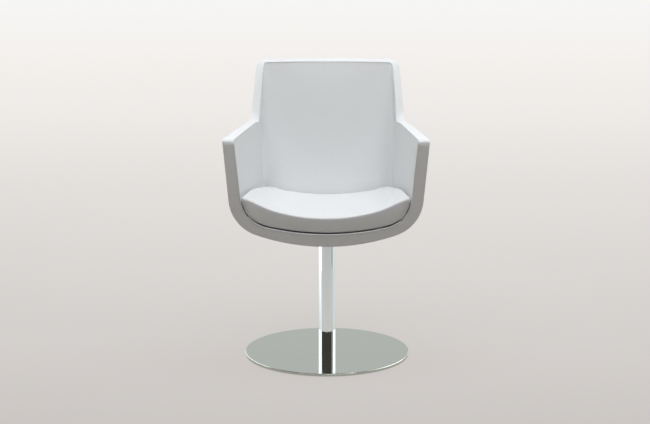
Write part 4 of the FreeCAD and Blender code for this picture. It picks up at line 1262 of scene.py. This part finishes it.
# %% Swell the cushion
CLOTH = {"quality": 5, "mass": 0.3, "tension_stiffness": 12, "compression_stiffness": 12,
         "shear_stiffness": 5, "bending_stiffness": 2.0, "use_pressure": True,
         "uniform_pressure_force": 4, "vertex_group_mass": "held"}
STEPS, MOST_SWELL = 20, 0.0035
group = cushion.vertex_groups.new(name="held")
for index, weight in enumerate(hold):
    if weight > 0:
        group.add([index], float(weight), "REPLACE")
select_only(cushion)
bpy.ops.object.modifier_add(type="CLOTH")
cloth = cushion.modifiers[-1]
for name, value in CLOTH.items():
    setattr(cloth.settings, name, value)
cloth.settings.effector_weights.gravity = 0
for step in range(1, STEPS + 1):
    scene.frame_set(step)
bpy.ops.object.modifier_apply(modifier=cloth.name)
scene.frame_set(1)
moved = read_places(cushion) - start
far = np.linalg.norm(moved, axis=1)
moved *= (MOST_SWELL * np.tanh(far / MOST_SWELL) / np.maximum(far, 1e-9))[:, None]
write_places(cushion, start + moved * (1 - hold)[:, None])
print("cushion swelled by at most", round(float(far.max()), 4), "m before the cap")

# %% Finish the cushion
apply_modifier(cushion, "SUBSURF", levels=1, render_levels=1)
cushion.data.shade_smooth()
cushion.data.materials.append(leather)
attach(cushion, "seat")
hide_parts("cushion_foam", "cushion_cover")
print("seat cushion", [round(value, 3) for value in cushion.dimensions])

# %% [markdown]
# ## Metal
#
# The foot is polished stainless steel, slightly green-grey and a little soft in its reflections, and
# the column is chrome. Both are nearly mirrors, so what shows in them is the studio. Inside, turned,
# zinc-plated and bearing steels differ in tone, in gloss and in the marks of their making.

# %% Metal materials


def make_metal(name, colour, low, high, scale, stretch=(1, 1, 1), bump=0.02):
    """Metal whose gloss varies a little with fine marks, stretched along the way it was worked."""
    material, nodes, links, shader = new_material(name)
    place = add_node(nodes, "TexCoord")
    second = [0.93 * value for value in colour[:3]] + [1]
    marks = add_marks(nodes, links, place, stretch, scale, 6.0, colour, second)
    links.new(marks.outputs["Colour"], shader.inputs["Base Color"])
    gloss = add_node(nodes, "MapRange", From_Min=0.3, From_Max=0.7, To_Min=low, To_Max=high)
    links.new(marks.outputs["Amount"], gloss.inputs["Value"])
    links.new(gloss.outputs[0], shader.inputs["Roughness"])
    relief = add_node(nodes, "Bump", Strength=bump, Distance=0.0002)
    links.new(marks.outputs["Amount"], relief.inputs["Height"])
    links.new(relief.outputs[0], shader.inputs["Normal"])
    shader.inputs["Metallic"].default_value = 1.0
    return material


steel = make_metal("polished_steel", (0.508, 0.542, 0.495, 1), 0.05, 0.11, 60, bump=0.01)
chrome = make_metal("chrome", (0.885, 0.955, 0.96, 1), 0.02, 0.05, 40, (1, 1, 0.2), bump=0.005)
turned = make_metal("turned_steel", (0.55, 0.55, 0.55, 1), 0.25, 0.4, 300, (0.3, 0.3, 4))
zinc = make_metal("zinc_screw", (0.62, 0.64, 0.68, 1), 0.22, 0.35, 500)
bearing = make_metal("bearing_steel", (0.66, 0.66, 0.67, 1), 0.12, 0.22, 200)
ball_steel = make_metal("ball_steel", (0.72, 0.72, 0.73, 1), 0.04, 0.08, 200)
brass = make_metal("cage_brass", (0.78, 0.58, 0.26, 1), 0.22, 0.35, 300)
print("metals", [metal.name for metal in (steel, chrome, turned, zinc, bearing, ball_steel, brass)])

# %% [markdown]
# ## Wood, plastic, paint and tape
#
# What holds the chair together inside is matt or satin: a plywood shell, a wooden block, nylon bushes,
# black pads and paint, and the tapes of the zip and of the cushion's strips. One recipe serves them
# all, because they differ in colour, roughness and the size and stretch of their grain.

# %% Matt and satin materials


def make_dull(name, colour, second, roughness, scale, stretch=(1, 1, 1)):
    """Matt or satin material with grain: wood, nylon, paint, tape or plastic."""
    material, nodes, links, shader = new_material(name)
    place = add_node(nodes, "TexCoord")
    marks = add_marks(nodes, links, place, stretch, scale, 5.0, colour, second)
    links.new(marks.outputs["Colour"], shader.inputs["Base Color"])
    relief = add_node(nodes, "Bump", Strength=0.25, Distance=0.0004)
    links.new(marks.outputs["Amount"], relief.inputs["Height"])
    links.new(relief.outputs[0], shader.inputs["Normal"])
    shader.inputs["Roughness"].default_value = roughness
    return material


nylon = make_dull("bush_nylon", (0.80, 0.78, 0.70, 1), (0.72, 0.70, 0.62, 1), 0.5, 200)
plastic = make_dull("pad_plastic", (0.03, 0.03, 0.032, 1), (0.045, 0.045, 0.047, 1), 0.55, 400)
paint = make_dull("plate_paint", (0.035, 0.035, 0.037, 1), (0.05, 0.05, 0.052, 1), 0.45, 900)
block = make_dull("block_wood", (0.56, 0.40, 0.24, 1), (0.44, 0.29, 0.16, 1), 0.6, 60, (0.15, 1, 1))
plywood = make_dull("core_plywood", (0.66, 0.50, 0.33, 1), (0.52, 0.36, 0.21, 1), 0.6, 80, (1, 0.1, 1))
zip_tape = make_dull("zip_tape", (0.74, 0.74, 0.75, 1), (0.62, 0.62, 0.63, 1), 0.7, 700, (0.3, 1, 3))
loop_tape = make_dull("loop_tape", (0.78, 0.78, 0.77, 1), (0.55, 0.55, 0.54, 1), 0.95, 1500)
hook_tape = make_dull("hook_tape", (0.72, 0.72, 0.71, 1), (0.50, 0.50, 0.50, 1), 0.8, 1200)
print("materials that use the marks", marks_group.users)

# %% Finish of every solid that shows
FINISHES = {
    "base_disc": steel, "glide_pads": plastic, "column_tube": chrome, "foot_plug": turned,
    "foot_screws": zinc, "bearing_housing": turned, "upper_bush": nylon, "lower_bush": nylon,
    "thrust_race_lower": bearing, "thrust_race_upper": bearing, "thrust_balls": ball_steel,
    "thrust_cage": brass, "swivel_spindle": turned, "spindle_washer": zinc,
    "spindle_circlip": bearing, "swivel_skirt": chrome, "seat_plate": paint,
    "plate_screws": zinc, "plate_washers": zinc, "mount_block": block, "insert_nuts": zinc,
    "shell_core": plywood, "cushion_zip": zip_tape, "loop_strips": loop_tape,
    "hook_strips": hook_tape,
}
for node, material in FINISHES.items():
    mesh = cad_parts[node].data
    mesh.materials.clear()
    mesh.materials.append(material)
left_over = sorted(set(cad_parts) - set(FINISHES))
print("finishes on", len(FINISHES), "nodes; replaced:", left_over)
